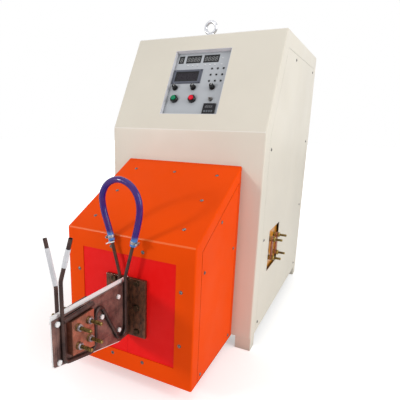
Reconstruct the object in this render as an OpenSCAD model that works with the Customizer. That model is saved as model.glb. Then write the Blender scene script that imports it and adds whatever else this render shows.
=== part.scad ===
// Induction heating machine: a tall power cabinet with a sloping control face,
// a heating station bolted to its front, and water-cooled output plates.
// X runs across the front, Y from front to back and Z upwards. The shapes are drawn from
// the middle of the cabinet's front face at floor level, and set round the whole footprint.

/* [Cabinet] */
// Width of the tall cabinet
cabinet_w = 600; // [560:5:700]
// Depth of the tall cabinet
cabinet_d = 900; // [850:10:1000]
// Height of the flat top above the floor
cabinet_h = 1145; // [1130:5:1250]
// Rise of the sloping face above its fold
slope_rise = 350; // [335:5:375]
// How far back the sloping face leans
slope_run = 192; // [170:1:215]
// Height of the feet
foot_h = 48; // [35:1:70]
// Width of each foot
foot_w = 58; // [45:1:80]
// Depth of each foot
foot_d = 50; // [40:1:80]
// Thickness of all steel covers
sheet_t = 2; // [1.5:0.1:3]
// Width of the shell's edge round each side panel
return_w = 60; // [52:1:70]
// Visible gap round each removable cover
seam = 1; // [0.6:0.1:1.6]

/* [Frame] */
// Side of the square box rails
rail = 40; // [36:1:44]
// Width of the flat bands behind the side panels
band_w = 60; // [54:1:70]
// Wall of the box rails
rail_wall = 2.5; // [2:0.1:4]
// Side of the inner shelf rails
shelf_rail = 30; // [24:1:36]
// Thickness of the shelf
shelf_t = 3; // [2:0.5:5]

/* [Control face] */
// Width of the recess
panel_w = 222; // [212:1:240]
// Length of the recess along the slope
panel_l = 268; // [262:1:290]
// Distance from the fold up to the recess
panel_low = 64; // [50:1:70]
// Depth of the recess
panel_depth = 16; // [12:0.5:20]
// Thickness of the printed face plate
plate_t = 3; // [2:0.5:4]
// Thickness of the recess tray
tray_t = 1.5; // [1:0.1:2]
// Width of the tray's flanges
tray_flange = 12; // [8:1:16]

/* [Controls] */
// Diameter of a knob's skirt
knob_d = 22; // [18:0.5:25]
// Height of a knob
knob_h = 15; // [12:0.5:18]
// Diameter of a knob's shaft
shaft_d = 6; // [5:0.1:6.5]
// Distance between the knobs
knob_pitch = 75; // [68:1:78]
// Diameter of a push button's ring
ring_d = 29; // [27:0.5:31]
// Diameter of a push button's cap
cap_d = 18; // [16:0.5:19]
// Travel of a push button
cap_travel = 4; // [2:0.5:5]
// Diameter of the small keys
key_d = 7; // [5:0.5:8]
// Travel of the small keys
key_travel = 0.8; // [0.5:0.1:1.2]
// Distance between the key columns
key_pitch_x = 22.5; // [18:0.5:24]
// Distance between the key rows
key_pitch_y = 26; // [20:0.5:27]
// Swing of the toggle lever from side to side
toggle_swing = 24; // [16:1:28]
// Side of the square panel timer
timer_side = 46; // [40:1:48]

/* [Side terminals] */
// Depth of the side window along the cabinet
window_w = 170; // [150:1:190]
// Height of the side window
window_h = 165; // [150:1:180]
// Distance from the front face to the window
window_y = 168; // [160:1:190]
// Height of the window's lower edge
window_z = 258; // [240:1:280]
// Depth from the side panel to the terminal board
board_depth = 10; // [8:0.5:14]
// Thickness of the terminal board
board_t = 8; // [6:0.5:10]
// Diameter of the terminal studs
terminal_d = 10; // [8:0.5:12]
// Distance between the stud columns
terminal_pitch_y = 78; // [66:1:88]
// Distance between the stud rows
terminal_pitch_z = 76; // [66:1:88]
// How far the studs stand out of the side panel
terminal_reach = 42; // [38:1:55]

/* [Heating station] */
// Width of the station
station_w = 450; // [430:5:500]
// Depth of the station
station_d = 365; // [350:5:400]
// Height of the station's front
station_front_h = 492; // [485:1:520]
// Height of the station where it meets the cabinet
station_rear_h = 680; // [660:5:700]
// Gap under the station
station_z = 45; // [35:1:60]
// Width of the edge in front of its side panels
station_return = 45; // [40:1:50]
// Width of the edge above its side panels
station_top_return = 40; // [36:1:44]
// Width of the edge behind its side panels
station_rear_return = 20; // [16:1:24]
// Width and height of the insulated window
opening_w = 330; // [320:1:340]
// Height of the window's middle
opening_mid_z = 270; // [262:1:276]
// Thickness of the insulating panels
insulator_t = 8; // [6:0.5:10]

/* [Output plates] */
// Length of the output plates in front of the insulating panels
plate_len = 324; // [315:1:345]
// Height from the plates' lowest edge to their highest
plate_h = 193; // [186:1:200]
// Height of the plates' upper edge
plate_top_z = 371; // [366:1:376]
// Length of the straight lower edge at the station
plate_straight = 53; // [45:1:60]
// How much lower the plates are at the station than at the front
plate_taper = 73; // [66:1:80]
// How far the plates' upper edge falls towards the station
plate_fall = 12; // [8:1:16]
// How much shorter the left plate is at the front
left_short = 21; // [19:1:26]
// How far the left tube and clamp block are set back
left_back = 15; // [11:1:18]
// Thickness of each output plate
output_t = 6; // [5:0.5:8]
// Thickness of the white spacer between the plates
spacer_t = 8; // [6:0.5:10]
// How far the spacer stands proud of the plates
spacer_proud = 8; // [5:0.5:10]
// How far the spacer's front edge stays behind the right plate's
spacer_back = 4; // [2:1:6]
// Width of each mounting flange
flange_w = 60; // [54:1:66]
// Height of each mounting flange
flange_h = 188; // [182:1:194]
// Thickness of each mounting flange
flange_t = 10; // [8:0.5:12]
// Distance between the flange bolts
flange_pitch = 80; // [72:1:84]
// Thickness of the clamp blocks
block_t = 18; // [15:0.5:22]
// Length of the clamp blocks
block_l = 83; // [80:1:86]
// Distance between the studs along the plates
stud_pitch_y = 41; // [38:1:44]
// Distance between the studs up the plates
stud_pitch_z = 50; // [46:1:54]
// Diameter of the brass studs
stud_d = 10; // [8:0.5:12]
// How far the studs stand out of the blocks
stud_reach = 42; // [36:1:50]

/* [Cooling] */
// Outer diameter of the copper tubes
tube_d = 10; // [9:0.5:11]
// Wall of the copper tubes
tube_wall = 1; // [0.8:0.1:1.5]
// Lean of the right front stub
right_lean = 18; // [14:1:22]
// Lean of the left front stub
left_lean = 13; // [10:1:16]
// Lean of both rear stubs
rear_lean = 15; // [14:0.5:16]
// Straight length of the right front stub
right_stub = 109; // [90:1:120]
// Straight length of the left front stub
left_stub = 117; // [100:1:125]
// Straight length of the rear stubs
rear_stub = 124; // [118:1:130]
// Outer diameter of the hose loop
hose_d = 19; // [16:0.5:22]
// Diameter of the water pipes at the back
pipe_d = 28; // [24:1:34]
// Diameter of the hose tails at the back
tail_d = 20; // [16:1:24]
// How far the hose tails stand out
tail_reach = 55; // [50:1:70]

/* [Lifting eyes] */
// Outer diameter of an eye ring
eye_d = 54; // [50:1:60]
// Hole of an eye ring
eye_hole = 30; // [26:1:32]
// Diameter of an eye's collar
collar_d = 30; // [26:1:34]
// Height of an eye's collar
collar_h = 8; // [6:1:10]
// Distance from the slope's top edge to the front eye
eye_back = 33; // [28:1:40]

/* [Fasteners] */
// Diameter of a cover screw
screw_d = 5; // [4:0.5:6]
// Diameter of a cover screw's head
screw_head = 10; // [9:0.5:12]
// Height of a cover screw's head
screw_head_h = 3; // [2:0.5:4]
// Length of a cover screw under its head
screw_len = 11; // [10:0.5:14]
// Distance from a cover's edge to its screws
screw_in = 21; // [16:1:24]

/* [Hidden] */
$fn = 48;
overrun = 1;
fit = 0.25;
slide_fit = 0.4;
shaft_fit = 0.05;

// Height of the fold where the sloping face starts
fold_h = cabinet_h - slope_rise;

// Outlines in side view, anticlockwise from the lower front corner, and the distance of
// each edge from the next shape in: bottom, back, top, slope, front.
cabinet_outline = [
    [0, foot_h], [cabinet_d, foot_h], [cabinet_d, cabinet_h], [slope_run, cabinet_h], [0, fold_h]
];
band_in = sheet_t + rail;
station_outline = [
    [-station_d, station_z], [0, station_z], [0, station_rear_h], [-station_d, station_front_h]
];
station_margins = [sheet_t, station_rear_return, station_top_return, station_return];

function unit(v) = v / norm(v);
function inward(p, q) = let (d = unit(q - p)) [-d[1], d[0]];
function meet(p, d, q, e) = p + d * cross(q - p, e) / cross(d, e);
function grown(margins, extra) = [for (m = margins) m + extra];
function inset(outline, margins) = [
    for (i = [0 : len(outline) - 1])
        let (
            n = len(outline),
            a = outline[(i + n - 1) % n],
            b = outline[i],
            c = outline[(i + 1) % n]
        )
        meet(
            a + inward(a, b) * margins[(i + n - 1) % n], b - a,
            b + inward(b, c) * margins[i], c - b
        )
];

// Slope of the cabinet and of the station
slope_tilt = atan2(slope_rise, slope_run);
station_rise = station_rear_h - station_front_h;
station_tilt = atan2(station_rise, station_d);
station_slope_l = norm([station_d, station_rise]);

// Footprint, from the cabinet's front face and its middle
output_face = station_d - sheet_t;
reach_right = cabinet_w / 2 + terminal_reach;
reach_left = cabinet_w / 2 + screw_head_h;
reach_front = output_face + plate_len;
reach_back = cabinet_d + tail_reach;
mid_x = (reach_right - reach_left) / 2;
mid_y = (reach_back - reach_front) / 2;

module centred() {
    translate([-mid_x, -mid_y, 0]) children();
}

module slab(x, t, outline) {
    translate([x, 0, 0]) rotate([90, 0, 90]) linear_extrude(t) polygon(outline);
}

module slab_ring(x, t, outer, inner) {
    translate([x, 0, 0]) rotate([90, 0, 90]) linear_extrude(t) difference() {
        polygon(outer);
        polygon(inner);
    }
}

module both_sides() {
    children();
    mirror([1, 0, 0]) children();
}

module on_slope() {
    translate([0, 0, fold_h]) rotate([slope_tilt, 0, 0]) children();
}

module on_station_slope() {
    translate([0, -station_d, station_front_h]) rotate([station_tilt, 0, 0]) children();
}

module box_rail(size, wall) {
    difference() {
        cube(size);
        translate([wall, wall, wall]) cube([for (s = size) s - 2 * wall]);
    }
}

// Cover screws: one pattern gives the holes and the screws
side_low_z = foot_h + rail - screw_len / 2;
side_high_z = fold_h - return_w;
side_mid_z = (side_low_z + side_high_z) / 2;
side_top_z = cabinet_h - return_w - screw_in;
side_front_y = return_w + screw_in;
side_rear_y = cabinet_d - side_front_y;
side_top_y = 2 * slope_run;
side_screw_places = [
    [side_front_y, side_low_z], [side_front_y, side_mid_z], [side_front_y, side_high_z],
    [side_rear_y, side_low_z], [side_rear_y, side_mid_z], [side_rear_y, side_high_z],
    [side_rear_y, side_top_z], [side_top_y, side_top_z]
];
rear_screw_x = cabinet_w / 2 - sheet_t - rail / 2;
rear_low_z = foot_h + rail / 2;
rear_top_z = cabinet_h - sheet_t - rail / 2;
rear_row_shares = [0, 0.33, 0.67, 1];
station_front_y = -(station_d - station_return - screw_in);
station_back_y = -(station_rear_return + screw_in);
station_low_z = station_z + screw_in;
station_mid_share = 0.56;
station_mid_z = station_z + station_mid_share * (station_rear_h - station_z);
station_high_y = -station_d / 2 + screw_in / 2;
station_high_z = station_rear_h + station_high_y * station_rise / station_d
    - (station_top_return + screw_in) / cos(station_tilt);
station_screw_places = [
    [station_front_y, station_low_z], [station_back_y, station_low_z],
    [station_front_y, station_mid_z], [station_back_y, station_mid_z],
    [station_high_y, station_high_z]
];
slope_screw_in = station_return + screw_in;
slope_rows = [slope_screw_in, station_slope_l / 2, station_slope_l - slope_screw_in];
slope_column = station_w / 2 - slope_screw_in;
opening_screw_out = 17;
opening_screw_side = 85;
opening_screw_top = 56;
opening_edge = opening_w / 2 + opening_screw_out;

module at_side_screws() {
    for (side = [-1, 1])
        for (p = side_screw_places)
            translate([side * cabinet_w / 2, p[0], p[1]]) rotate([0, side * 90, 0]) children();
}

module at_rear_screws() {
    for (side = [-1, 1])
        for (share = rear_row_shares)
            translate([side * rear_screw_x, cabinet_d, rear_low_z + share * (rear_top_z - rear_low_z)])
                rotate([-90, 0, 0]) children();
}

module at_station_side_screws() {
    for (side = [-1, 1])
        for (p = station_screw_places)
            translate([side * station_w / 2, p[0], p[1]]) rotate([0, side * 90, 0]) children();
}

module at_slope_screws() {
    on_station_slope() {
        for (row = slope_rows)
            for (side = [-1, 1])
                translate([side * slope_column, row, 0]) children();
        for (row = [slope_rows[0], slope_rows[2]])
            translate([0, row, 0]) children();
    }
}

module at_opening_screws() {
    translate([0, -station_d, opening_mid_z]) rotate([90, 0, 0]) {
        for (i = [-1, 1])
            for (j = [-1, 1]) {
                translate([i * opening_edge, j * opening_screw_side, 0]) children();
                translate([i * opening_screw_top, j * opening_edge, 0]) children();
            }
    }
}

module at_board_screws() {
    for (i = [0, 1])
        for (j = [0, 1])
            translate([
                board_x, board_y + board_edge / 2 + i * (board_l - board_edge),
                board_z + shelf_rail / 2 + j * (board_h - shelf_rail)
            ]) rotate([0, 90, 0]) children();
}

module screw_hole() {
    translate([0, 0, -screw_len - overrun]) cylinder(h = screw_len + 2 * overrun, d = screw_d + 2 * fit);
}

module screw() {
    dome = screw_head_h / 3;
    translate([0, 0, -screw_len]) cylinder(h = screw_len, d = screw_d);
    cylinder(h = screw_head_h - dome, d = screw_head);
    translate([0, 0, screw_head_h - dome]) cylinder(h = dome, d1 = screw_head, d2 = screw_head - 3 * dome);
}

module hex(across, h) {
    cylinder(h = h, d = across / cos(30), $fn = 6);
}

// Cabinet
module cabinet_base() {
    floor_in = sheet_t + rail;
    color("wheat") {
        both_sides()
            for (y = [0, cabinet_d - foot_d])
                translate([cabinet_w / 2 - foot_w, y, 0]) cube([foot_w, foot_d, foot_h]);
        translate([floor_in - cabinet_w / 2, floor_in, foot_h])
            cube([cabinet_w - 2 * floor_in, cabinet_d - 2 * floor_in, sheet_t]);
    }
}

board_x = cabinet_w / 2 - board_depth;
board_edge = 18;
board_y = window_y - board_edge;
board_l = window_w + 2 * board_edge;
board_z = window_z - shelf_rail;
board_h = window_h + 2 * shelf_rail;
band_y = band_in + band_w;
eye_front_y = slope_run + eye_back;
eye_rear_y = cabinet_d - sheet_t - rail / 2;
shelf_z = board_z + board_h;
passage_w = 260;
passage_h = 220;
passage_z = 240;
eye_shank = 20;
eye_thread_d = 12;

module upright_band() {
    outer = [rail, band_in, band_in, band_in, band_in];
    inner = [-overrun, band_y, band_y, band_y, band_y];
    x = cabinet_w / 2 - sheet_t - rail;
    difference() {
        slab_ring(x, rail, inset(cabinet_outline, outer), inset(cabinet_outline, inner));
        slab_ring(
            x + rail_wall, rail - 2 * rail_wall,
            inset(cabinet_outline, grown(outer, rail_wall)),
            inset(cabinet_outline, grown(inner, -rail_wall))
        );
    }
}

module cabinet_frame() {
    long_l = cabinet_d - 2 * sheet_t;
    cross_l = cabinet_w - 2 * sheet_t;
    rail_x = cabinet_w / 2 - sheet_t - rail;
    top_z = cabinet_h - sheet_t - rail;
    shelf_rail_x = board_x - board_t - shelf_rail;
    shelf_rail_l = cabinet_d - 2 * band_y;
    station_rail_z = station_rear_h - rail;
    color("lightgray") difference() {
        union() {
            both_sides() {
                upright_band();
                translate([rail_x, sheet_t, foot_h]) box_rail([rail, long_l, rail], rail_wall);
                translate([rail_x, cabinet_d - sheet_t - rail, foot_h + rail])
                    box_rail([rail, rail, top_z - foot_h - rail], rail_wall);
                for (z = [board_z, shelf_z - shelf_rail])
                    translate([shelf_rail_x, band_y, z])
                        box_rail([shelf_rail, shelf_rail_l, shelf_rail], rail_wall);
            }
            for (y = [sheet_t, cabinet_d - sheet_t - rail])
                translate([-rail_x, y, foot_h]) box_rail([2 * rail_x, rail, rail], rail_wall);
            for (y = [eye_front_y - rail / 2, cabinet_d - sheet_t - rail])
                translate([-cross_l / 2, y, top_z]) box_rail([cross_l, rail, rail], rail_wall);
            for (z = [foot_h + 2 * rail, station_rail_z])
                translate([-cross_l / 2, sheet_t, z]) box_rail([cross_l, rail, rail], rail_wall);
            translate([-shelf_rail_x - shelf_rail, band_y + shelf_rail, shelf_z])
                cube([2 * (shelf_rail_x + shelf_rail), shelf_rail_l - 2 * shelf_rail, shelf_t]);
        }
        at_side_screws() screw_hole();
        at_rear_screws() screw_hole();
        translate([-board_t, 0, 0]) at_board_screws() screw_hole();
        at_eyes() translate([0, 0, -eye_shank - overrun])
            cylinder(h = eye_shank + 2 * overrun, d = eye_thread_d + 2 * fit);
    }
}

module at_eyes() {
    for (y = [eye_front_y, eye_rear_y]) translate([0, y, cabinet_h]) children();
}

module recess_hole() {
    open_w = panel_w + 2 * (tray_t + fit);
    open_l = panel_l + 2 * (tray_t + fit);
    on_slope() translate([-open_w / 2, panel_low - tray_t - fit, -rail])
        cube([open_w, open_l, 2 * rail]);
}

module cabinet_shell() {
    color("antiquewhite") difference() {
        slab(-cabinet_w / 2, cabinet_w, cabinet_outline);
        slab(
            -cabinet_w / 2 + sheet_t, cabinet_w - 2 * sheet_t,
            inset(cabinet_outline, [-overrun, -overrun, sheet_t, sheet_t, sheet_t])
        );
        slab(
            -cabinet_w / 2 - overrun, cabinet_w + 2 * overrun,
            inset(cabinet_outline, [-overrun, return_w, return_w, return_w, return_w])
        );
        recess_hole();
        translate([-passage_w / 2, -overrun, passage_z])
            cube([passage_w, sheet_t + 2 * overrun, passage_h]);
        at_eyes() translate([0, 0, -sheet_t - overrun])
            cylinder(h = sheet_t + 2 * overrun, d = eye_thread_d + 2 * fit);
    }
}

module side_sheet() {
    difference() {
        slab(
            cabinet_w / 2 - sheet_t, sheet_t,
            inset(cabinet_outline, [0, return_w + seam, return_w + seam, return_w + seam, return_w + seam])
        );
        at_side_screws() screw_hole();
    }
}

module right_side_panel() {
    color("linen") difference() {
        side_sheet();
        translate([cabinet_w / 2 - sheet_t - overrun, window_y, window_z])
            cube([sheet_t + 2 * overrun, window_w, window_h]);
    }
}

module left_side_panel() {
    color("linen") mirror([1, 0, 0]) side_sheet();
}

louvre_w = 130;
louvre_h = 9;
louvre_pitch = 24;
louvre_rows = 9;
louvre_out = 7;
louvre_low_share = 0.58;
pipe_l = 240;
manifold_gap = 18;
manifold_x = sheet_t + rail + manifold_gap + pipe_l / 2 - cabinet_w / 2;
manifold_low_z = 170;
manifold_pitch = 90;
gland_side = 150;
gland_x = cabinet_w / 2 - gland_side;
gland_z = 170;
gland_hole_d = 40;

module louvre() {
    hood = [
        [0, 0], [louvre_out, 0], [louvre_out, sheet_t], [0, louvre_h + sheet_t]
    ];
    translate([-louvre_w / 2, 0, 0]) rotate([90, 0, 90]) difference() {
        linear_extrude(louvre_w) polygon(hood);
        translate([-overrun, -overrun, sheet_t]) linear_extrude(louvre_w - 2 * sheet_t)
            polygon([
                [0, 0], [louvre_out + overrun - sheet_t, 0], [louvre_out + overrun - sheet_t, sheet_t / 2],
                [0, louvre_h]
            ]);
    }
}

module at_louvres() {
    low = foot_h + louvre_low_share * (cabinet_h - foot_h);
    for (side = [-1, 1])
        for (row = [0 : louvre_rows - 1])
            translate([side * (louvre_w + rail) / 2, cabinet_d, low + row * louvre_pitch]) children();
}

module rear_panel() {
    panel_x = cabinet_w / 2 - sheet_t - seam;
    color("linen") difference() {
        union() {
            translate([-panel_x, cabinet_d - sheet_t, foot_h])
                cube([2 * panel_x, sheet_t, cabinet_h - foot_h - sheet_t - seam]);
            at_louvres() louvre();
        }
        at_louvres() translate([-louvre_w / 2 + sheet_t, -sheet_t - overrun, 0])
            cube([louvre_w - 2 * sheet_t, sheet_t + 2 * overrun, louvre_h - sheet_t]);
        at_rear_screws() screw_hole();
        for (row = [0, 1])
            translate([manifold_x, cabinet_d - sheet_t - overrun, manifold_low_z + row * manifold_pitch])
                rotate([-90, 0, 0]) cylinder(h = sheet_t + 2 * overrun, d = tail_d + 2 * fit);
        translate([gland_x, cabinet_d - sheet_t - overrun, gland_z])
            rotate([-90, 0, 0]) cylinder(h = sheet_t + 2 * overrun, d = gland_hole_d + 2 * fit);
    }
}

module eye_bolts() {
    section = (eye_d - eye_hole) / 2;
    ring_r = (eye_d - section) / 2;
    color("silver") at_eyes() {
        cylinder(h = collar_h, d1 = collar_d, d2 = collar_d - collar_h / 2);
        translate([0, 0, collar_h / 4 + eye_d / 2]) rotate([90, 0, 0])
            rotate_extrude() translate([ring_r, 0]) circle(d = section);
        translate([0, 0, -eye_shank]) cylinder(h = eye_shank, d = eye_thread_d);
    }
}

module panel_screws() {
    color("silver") {
        at_side_screws() screw();
        at_rear_screws() screw();
        at_station_side_screws() screw();
        at_slope_screws() screw();
        at_opening_screws() screw();
        at_board_screws() screw();
    }
}

// Control face: places are shares of the recess, from its lower edge and its middle
display_row_share = 0.892;
lamp_row_share = 0.797;
screen_row_share = 0.614;
key_row_share = 0.632;
knob_row_share = 0.433;
button_row_share = 0.252;
timer_row_share = 0.096;
display_column_shares = [-0.399, -0.169, 0.153];
display_widths = [21, 60, 61];
display_h = 32;
display_depth = 12;
display_sunk = 0.6;
lamp_column_shares = [-0.252, -0.164, -0.077, 0.065, 0.151, 0.239, 0.354];
lamp_w = 7;
lamp_h = 3;
lamp_depth = 8;
screen_column_share = -0.22;
screen_w = 120;
screen_h = 60;
screen_proud = 3;
glass_w = 95;
glass_h = 42;
glass_t = 2;
key_column_share = 0.309;
key_proud = 2.5;
knob_column_share = -0.045;
green_column_share = -0.34;
red_column_share = -0.014;
toggle_column_share = 0.311;
timer_column_share = 0.325;

module on_panel(column_share, row_share) {
    on_slope() translate([column_share * panel_w, panel_low + row_share * panel_l, -panel_depth])
        children();
}

module middle_cube(size) {
    translate([-size[0] / 2, -size[1] / 2, 0]) cube(size);
}

module panel_tray() {
    inner_w = panel_w;
    inner_l = panel_l;
    outer_w = inner_w + 2 * tray_t;
    outer_l = inner_l + 2 * tray_t;
    floor_n = panel_depth + plate_t + tray_t;
    color("silver") on_slope() translate([0, panel_low + panel_l / 2, 0]) difference() {
        union() {
            translate([0, 0, -floor_n]) middle_cube([outer_w, outer_l, floor_n]);
            translate([0, 0, -sheet_t - tray_t])
                middle_cube([outer_w + 2 * tray_flange, outer_l + 2 * tray_flange, tray_t]);
        }
        translate([0, 0, tray_t - floor_n]) middle_cube([inner_w, inner_l, floor_n]);
        translate([0, 0, -floor_n - overrun])
            middle_cube([inner_w - tray_flange, inner_l - tray_flange / 2, floor_n]);
    }
}

module at_displays(i) {
    on_panel(display_column_shares[i], display_row_share) children();
}

module at_lamps() {
    for (share = lamp_column_shares) on_panel(share, lamp_row_share) children();
    on_panel(lamp_column_shares[6], display_row_share) children();
}

module at_knob(i) {
    on_panel(knob_column_share, knob_row_share) translate([i * knob_pitch, 0, 0]) children();
}

module at_key(i) {
    column = i % 3 - 1;
    row = 1 - floor(i / 3);
    on_panel(key_column_share, key_row_share)
        translate([column * key_pitch_x, row * key_pitch_y, 0]) children();
}

bush_d = 7;
button_body_d = 22;
toggle_bush_d = 12;
timer_lip = 1.5;
timer_case = timer_side - 2 * timer_lip;

module panel_plate() {
    color("lightslategray") difference() {
        on_slope() translate([0, panel_low + panel_l / 2, -panel_depth - plate_t])
            middle_cube([panel_w - 2 * fit, panel_l - 2 * fit, plate_t]);
        for (i = [0 : len(display_widths) - 1])
            at_displays(i) translate([0, 0, -plate_t - overrun])
                middle_cube([display_widths[i] + 2 * fit, display_h + 2 * fit, plate_t + 2 * overrun]);
        at_lamps() translate([0, 0, -plate_t - overrun])
            middle_cube([lamp_w + 2 * fit, lamp_h + 2 * fit, plate_t + 2 * overrun]);
        on_panel(screen_column_share, screen_row_share) translate([0, 0, -plate_t - overrun])
            middle_cube([glass_w + 2 * fit, glass_h + 2 * fit, plate_t + 2 * overrun]);
        for (i = [-1 : 1])
            at_knob(i) translate([0, 0, -plate_t - overrun])
                cylinder(h = plate_t + 2 * overrun, d = bush_d + 2 * fit);
        for (i = [0 : 8])
            at_key(i) translate([0, 0, -plate_t - overrun])
                cylinder(h = plate_t + 2 * overrun, d = key_d + 2 * slide_fit);
        for (share = [green_column_share, red_column_share])
            on_panel(share, button_row_share) translate([0, 0, -plate_t - overrun])
                cylinder(h = plate_t + 2 * overrun, d = button_body_d + 2 * fit);
        on_panel(toggle_column_share, button_row_share) translate([0, 0, -plate_t - overrun])
            cylinder(h = plate_t + 2 * overrun, d = toggle_bush_d + 2 * fit);
        on_panel(timer_column_share, timer_row_share) translate([0, 0, -plate_t - overrun])
            middle_cube([timer_case + 2 * fit, timer_case + 2 * fit, plate_t + 2 * overrun]);
    }
}

module display_modules() {
    pins = display_depth / 2;
    color("dimgray")
        for (i = [0 : len(display_widths) - 1])
            at_displays(i) {
                translate([0, 0, -display_depth])
                    middle_cube([display_widths[i], display_h, display_depth - display_sunk]);
                translate([0, 0, -display_depth - pins])
                    middle_cube([display_widths[i] - pins, display_h - pins, pins]);
            }
}

module screen_bezel() {
    wall = (screen_w - glass_w) / 4;
    color("slategray") on_panel(screen_column_share, screen_row_share) difference() {
        union() {
            middle_cube([screen_w - 2 * wall, screen_h - wall, screen_proud]);
            middle_cube([screen_w, screen_h, screen_proud / 2]);
        }
        translate([0, 0, -overrun]) middle_cube([glass_w, glass_h, screen_proud + 2 * overrun]);
    }
}

module screen_glass() {
    color("black") on_panel(screen_column_share, screen_row_share)
        translate([0, 0, -plate_t - display_depth + display_sunk])
            middle_cube([glass_w - 2 * fit, glass_h - 2 * fit, plate_t + display_depth + glass_t - 2 * display_sunk]);
}

module indicator_lamps() {
    color("white") at_lamps() {
        translate([0, 0, -lamp_depth]) middle_cube([lamp_w, lamp_h, lamp_depth + display_sunk]);
    }
}

key_sunk = 4;
key_stem = plate_t + key_sunk;
switch_side = 6;
switch_h = 5;
board_n = key_stem + key_travel + fit + switch_h;
board_pcb_t = 1.6;

module control_board() {
    margin = key_pitch_x * 0.7;
    pcb_w = 2 * key_pitch_x + margin;
    pcb_l = 2 * key_pitch_y + margin;
    post_x = pcb_w / 2 - switch_side / 2;
    post_y = pcb_l / 2 - switch_side / 2;
    color("darkgreen") {
        on_panel(key_column_share, key_row_share) {
            translate([0, 0, -board_n - board_pcb_t]) middle_cube([pcb_w, pcb_l, board_pcb_t]);
            for (i = [-1, 1])
                for (j = [-1, 1])
                    translate([i * post_x, j * post_y, -board_n])
                        cylinder(h = board_n - plate_t, d = switch_side);
        }
        for (i = [0 : 8])
            at_key(i) translate([0, 0, -board_n]) middle_cube([switch_side, switch_side, switch_h]);
    }
}

pot_d = 17;
pot_depth = 10;
pot_nut = 10;
pot_nut_h = 1.5;
knob_gap = 2;
shaft_l = 11;

module potentiometers() {
    color("darkgray")
        for (i = [-1 : 1])
            at_knob(i) {
                translate([0, 0, -plate_t - pot_depth]) cylinder(h = pot_depth, d = pot_d);
                translate([0, 0, -plate_t]) cylinder(h = plate_t + pot_nut_h, d = bush_d);
                hex(pot_nut, pot_nut_h);
                cylinder(h = shaft_l, d = shaft_d);
            }
}

module knob() {
    skirt_h = knob_h / 5;
    grip_d = knob_d * 0.8;
    flutes = 12;
    line_w = knob_d / 12;
    bore_h = shaft_l - knob_gap + fit;
    translate([0, 0, knob_gap]) difference() {
        union() {
            cylinder(h = skirt_h, d1 = knob_d, d2 = knob_d - skirt_h / 2);
            translate([0, 0, skirt_h]) cylinder(h = knob_h - skirt_h, d1 = grip_d, d2 = grip_d * 0.92);
        }
        translate([0, 0, -overrun]) cylinder(h = bore_h + overrun, d = shaft_d + 2 * shaft_fit);
        for (i = [0 : flutes - 1])
            rotate([0, 0, (i + 0.5) * 360 / flutes]) translate([grip_d / 2, 0, skirt_h * 1.5])
                cylinder(h = knob_h, d = knob_d / 9);
        translate([-line_w / 2, 0, knob_h - line_w / 2]) cube([line_w, grip_d, line_w]);
    }
}

module knob_at(i) {
    color("black") at_knob(i) knob();
}

ring_h = 12;
ring_nut_h = 5;
cap_proud = 18;
body_depth = 42;
block_side = 34;
cap_stem = 12;

module push_button_bodies() {
    color("black")
        for (share = [green_column_share, red_column_share])
            on_panel(share, button_row_share) {
                difference() {
                    union() {
                        cylinder(h = ring_h * 0.8, d = ring_d);
                        translate([0, 0, ring_h * 0.8])
                            cylinder(h = ring_h * 0.2, d1 = ring_d, d2 = ring_d - ring_h * 0.4);
                        translate([0, 0, -body_depth / 2]) cylinder(h = body_depth / 2, d = button_body_d);
                    }
                    translate([0, 0, -cap_stem - cap_travel - fit])
                        cylinder(h = cap_stem + cap_travel + ring_h + overrun + fit, d = cap_d + 2 * slide_fit);
                }
                translate([0, 0, -body_depth]) middle_cube([block_side * 0.8, block_side, body_depth / 2]);
                translate([0, 0, -plate_t - ring_nut_h]) difference() {
                    cylinder(h = ring_nut_h, d = ring_d - fit);
                    translate([0, 0, -overrun]) cylinder(h = ring_nut_h + 2 * overrun, d = button_body_d);
                }
            }
}

module cap_at(share, tint) {
    edge = cap_d / 16;
    color(tint) on_panel(share, button_row_share) {
        translate([0, 0, -cap_stem]) cylinder(h = cap_stem + cap_proud - edge, d = cap_d);
        translate([0, 0, cap_proud - edge]) cylinder(h = edge, d1 = cap_d, d2 = cap_d - 2 * edge);
    }
}

module key_at(i) {
    crown = key_proud / 4;
    color("black") at_key(i) {
        translate([0, 0, -key_stem]) cylinder(h = key_stem + key_proud - crown, d = key_d);
        translate([0, 0, key_proud - crown]) cylinder(h = crown, d1 = key_d, d2 = key_d - 2 * crown);
    }
}

toggle_flat = 16;
toggle_out = 7;
pivot_up = 1;
pivot_d = 2;
pivot_short = 0.2;
lever_l = 17;
lever_d = 3.6;
ball_d = 7;

module toggle_pivot(l, d) {
    translate([-l / 2, 0, pivot_up]) rotate([0, 90, 0]) cylinder(h = l, d = d);
}

module toggle_switch() {
    bore = ball_d + 2 * slide_fit;
    body = [toggle_flat, toggle_bush_d * 2, toggle_bush_d * 1.6];
    color("silver") on_panel(toggle_column_share, button_row_share) difference() {
        union() {
            translate([0, 0, -plate_t]) cylinder(h = plate_t + toggle_out, d = toggle_bush_d);
            hex(toggle_flat, toggle_out / 3);
            translate([0, 0, -plate_t - body[2]]) middle_cube(body);
        }
        translate([0, 0, pivot_up - ball_d / 2 - slide_fit])
            cylinder(h = toggle_out + ball_d, d = bore);
        toggle_pivot(toggle_bush_d, pivot_d + 2 * shaft_fit);
    }
}

module toggle_lever() {
    tip = lever_d * 1.5;
    color("silver") on_panel(toggle_column_share, button_row_share) {
        toggle_pivot(toggle_bush_d - 2 * pivot_short, pivot_d);
        translate([0, 0, pivot_up]) rotate([toggle_swing / 2, 0, 0]) {
            sphere(d = ball_d);
            cylinder(h = lever_l, d1 = lever_d, d2 = tip);
            translate([0, 0, lever_l]) sphere(d = tip);
        }
    }
}

timer_bezel_t = 5;
timer_case_l = 62;
timer_window_h = 16;
timer_keys = 4;

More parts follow.
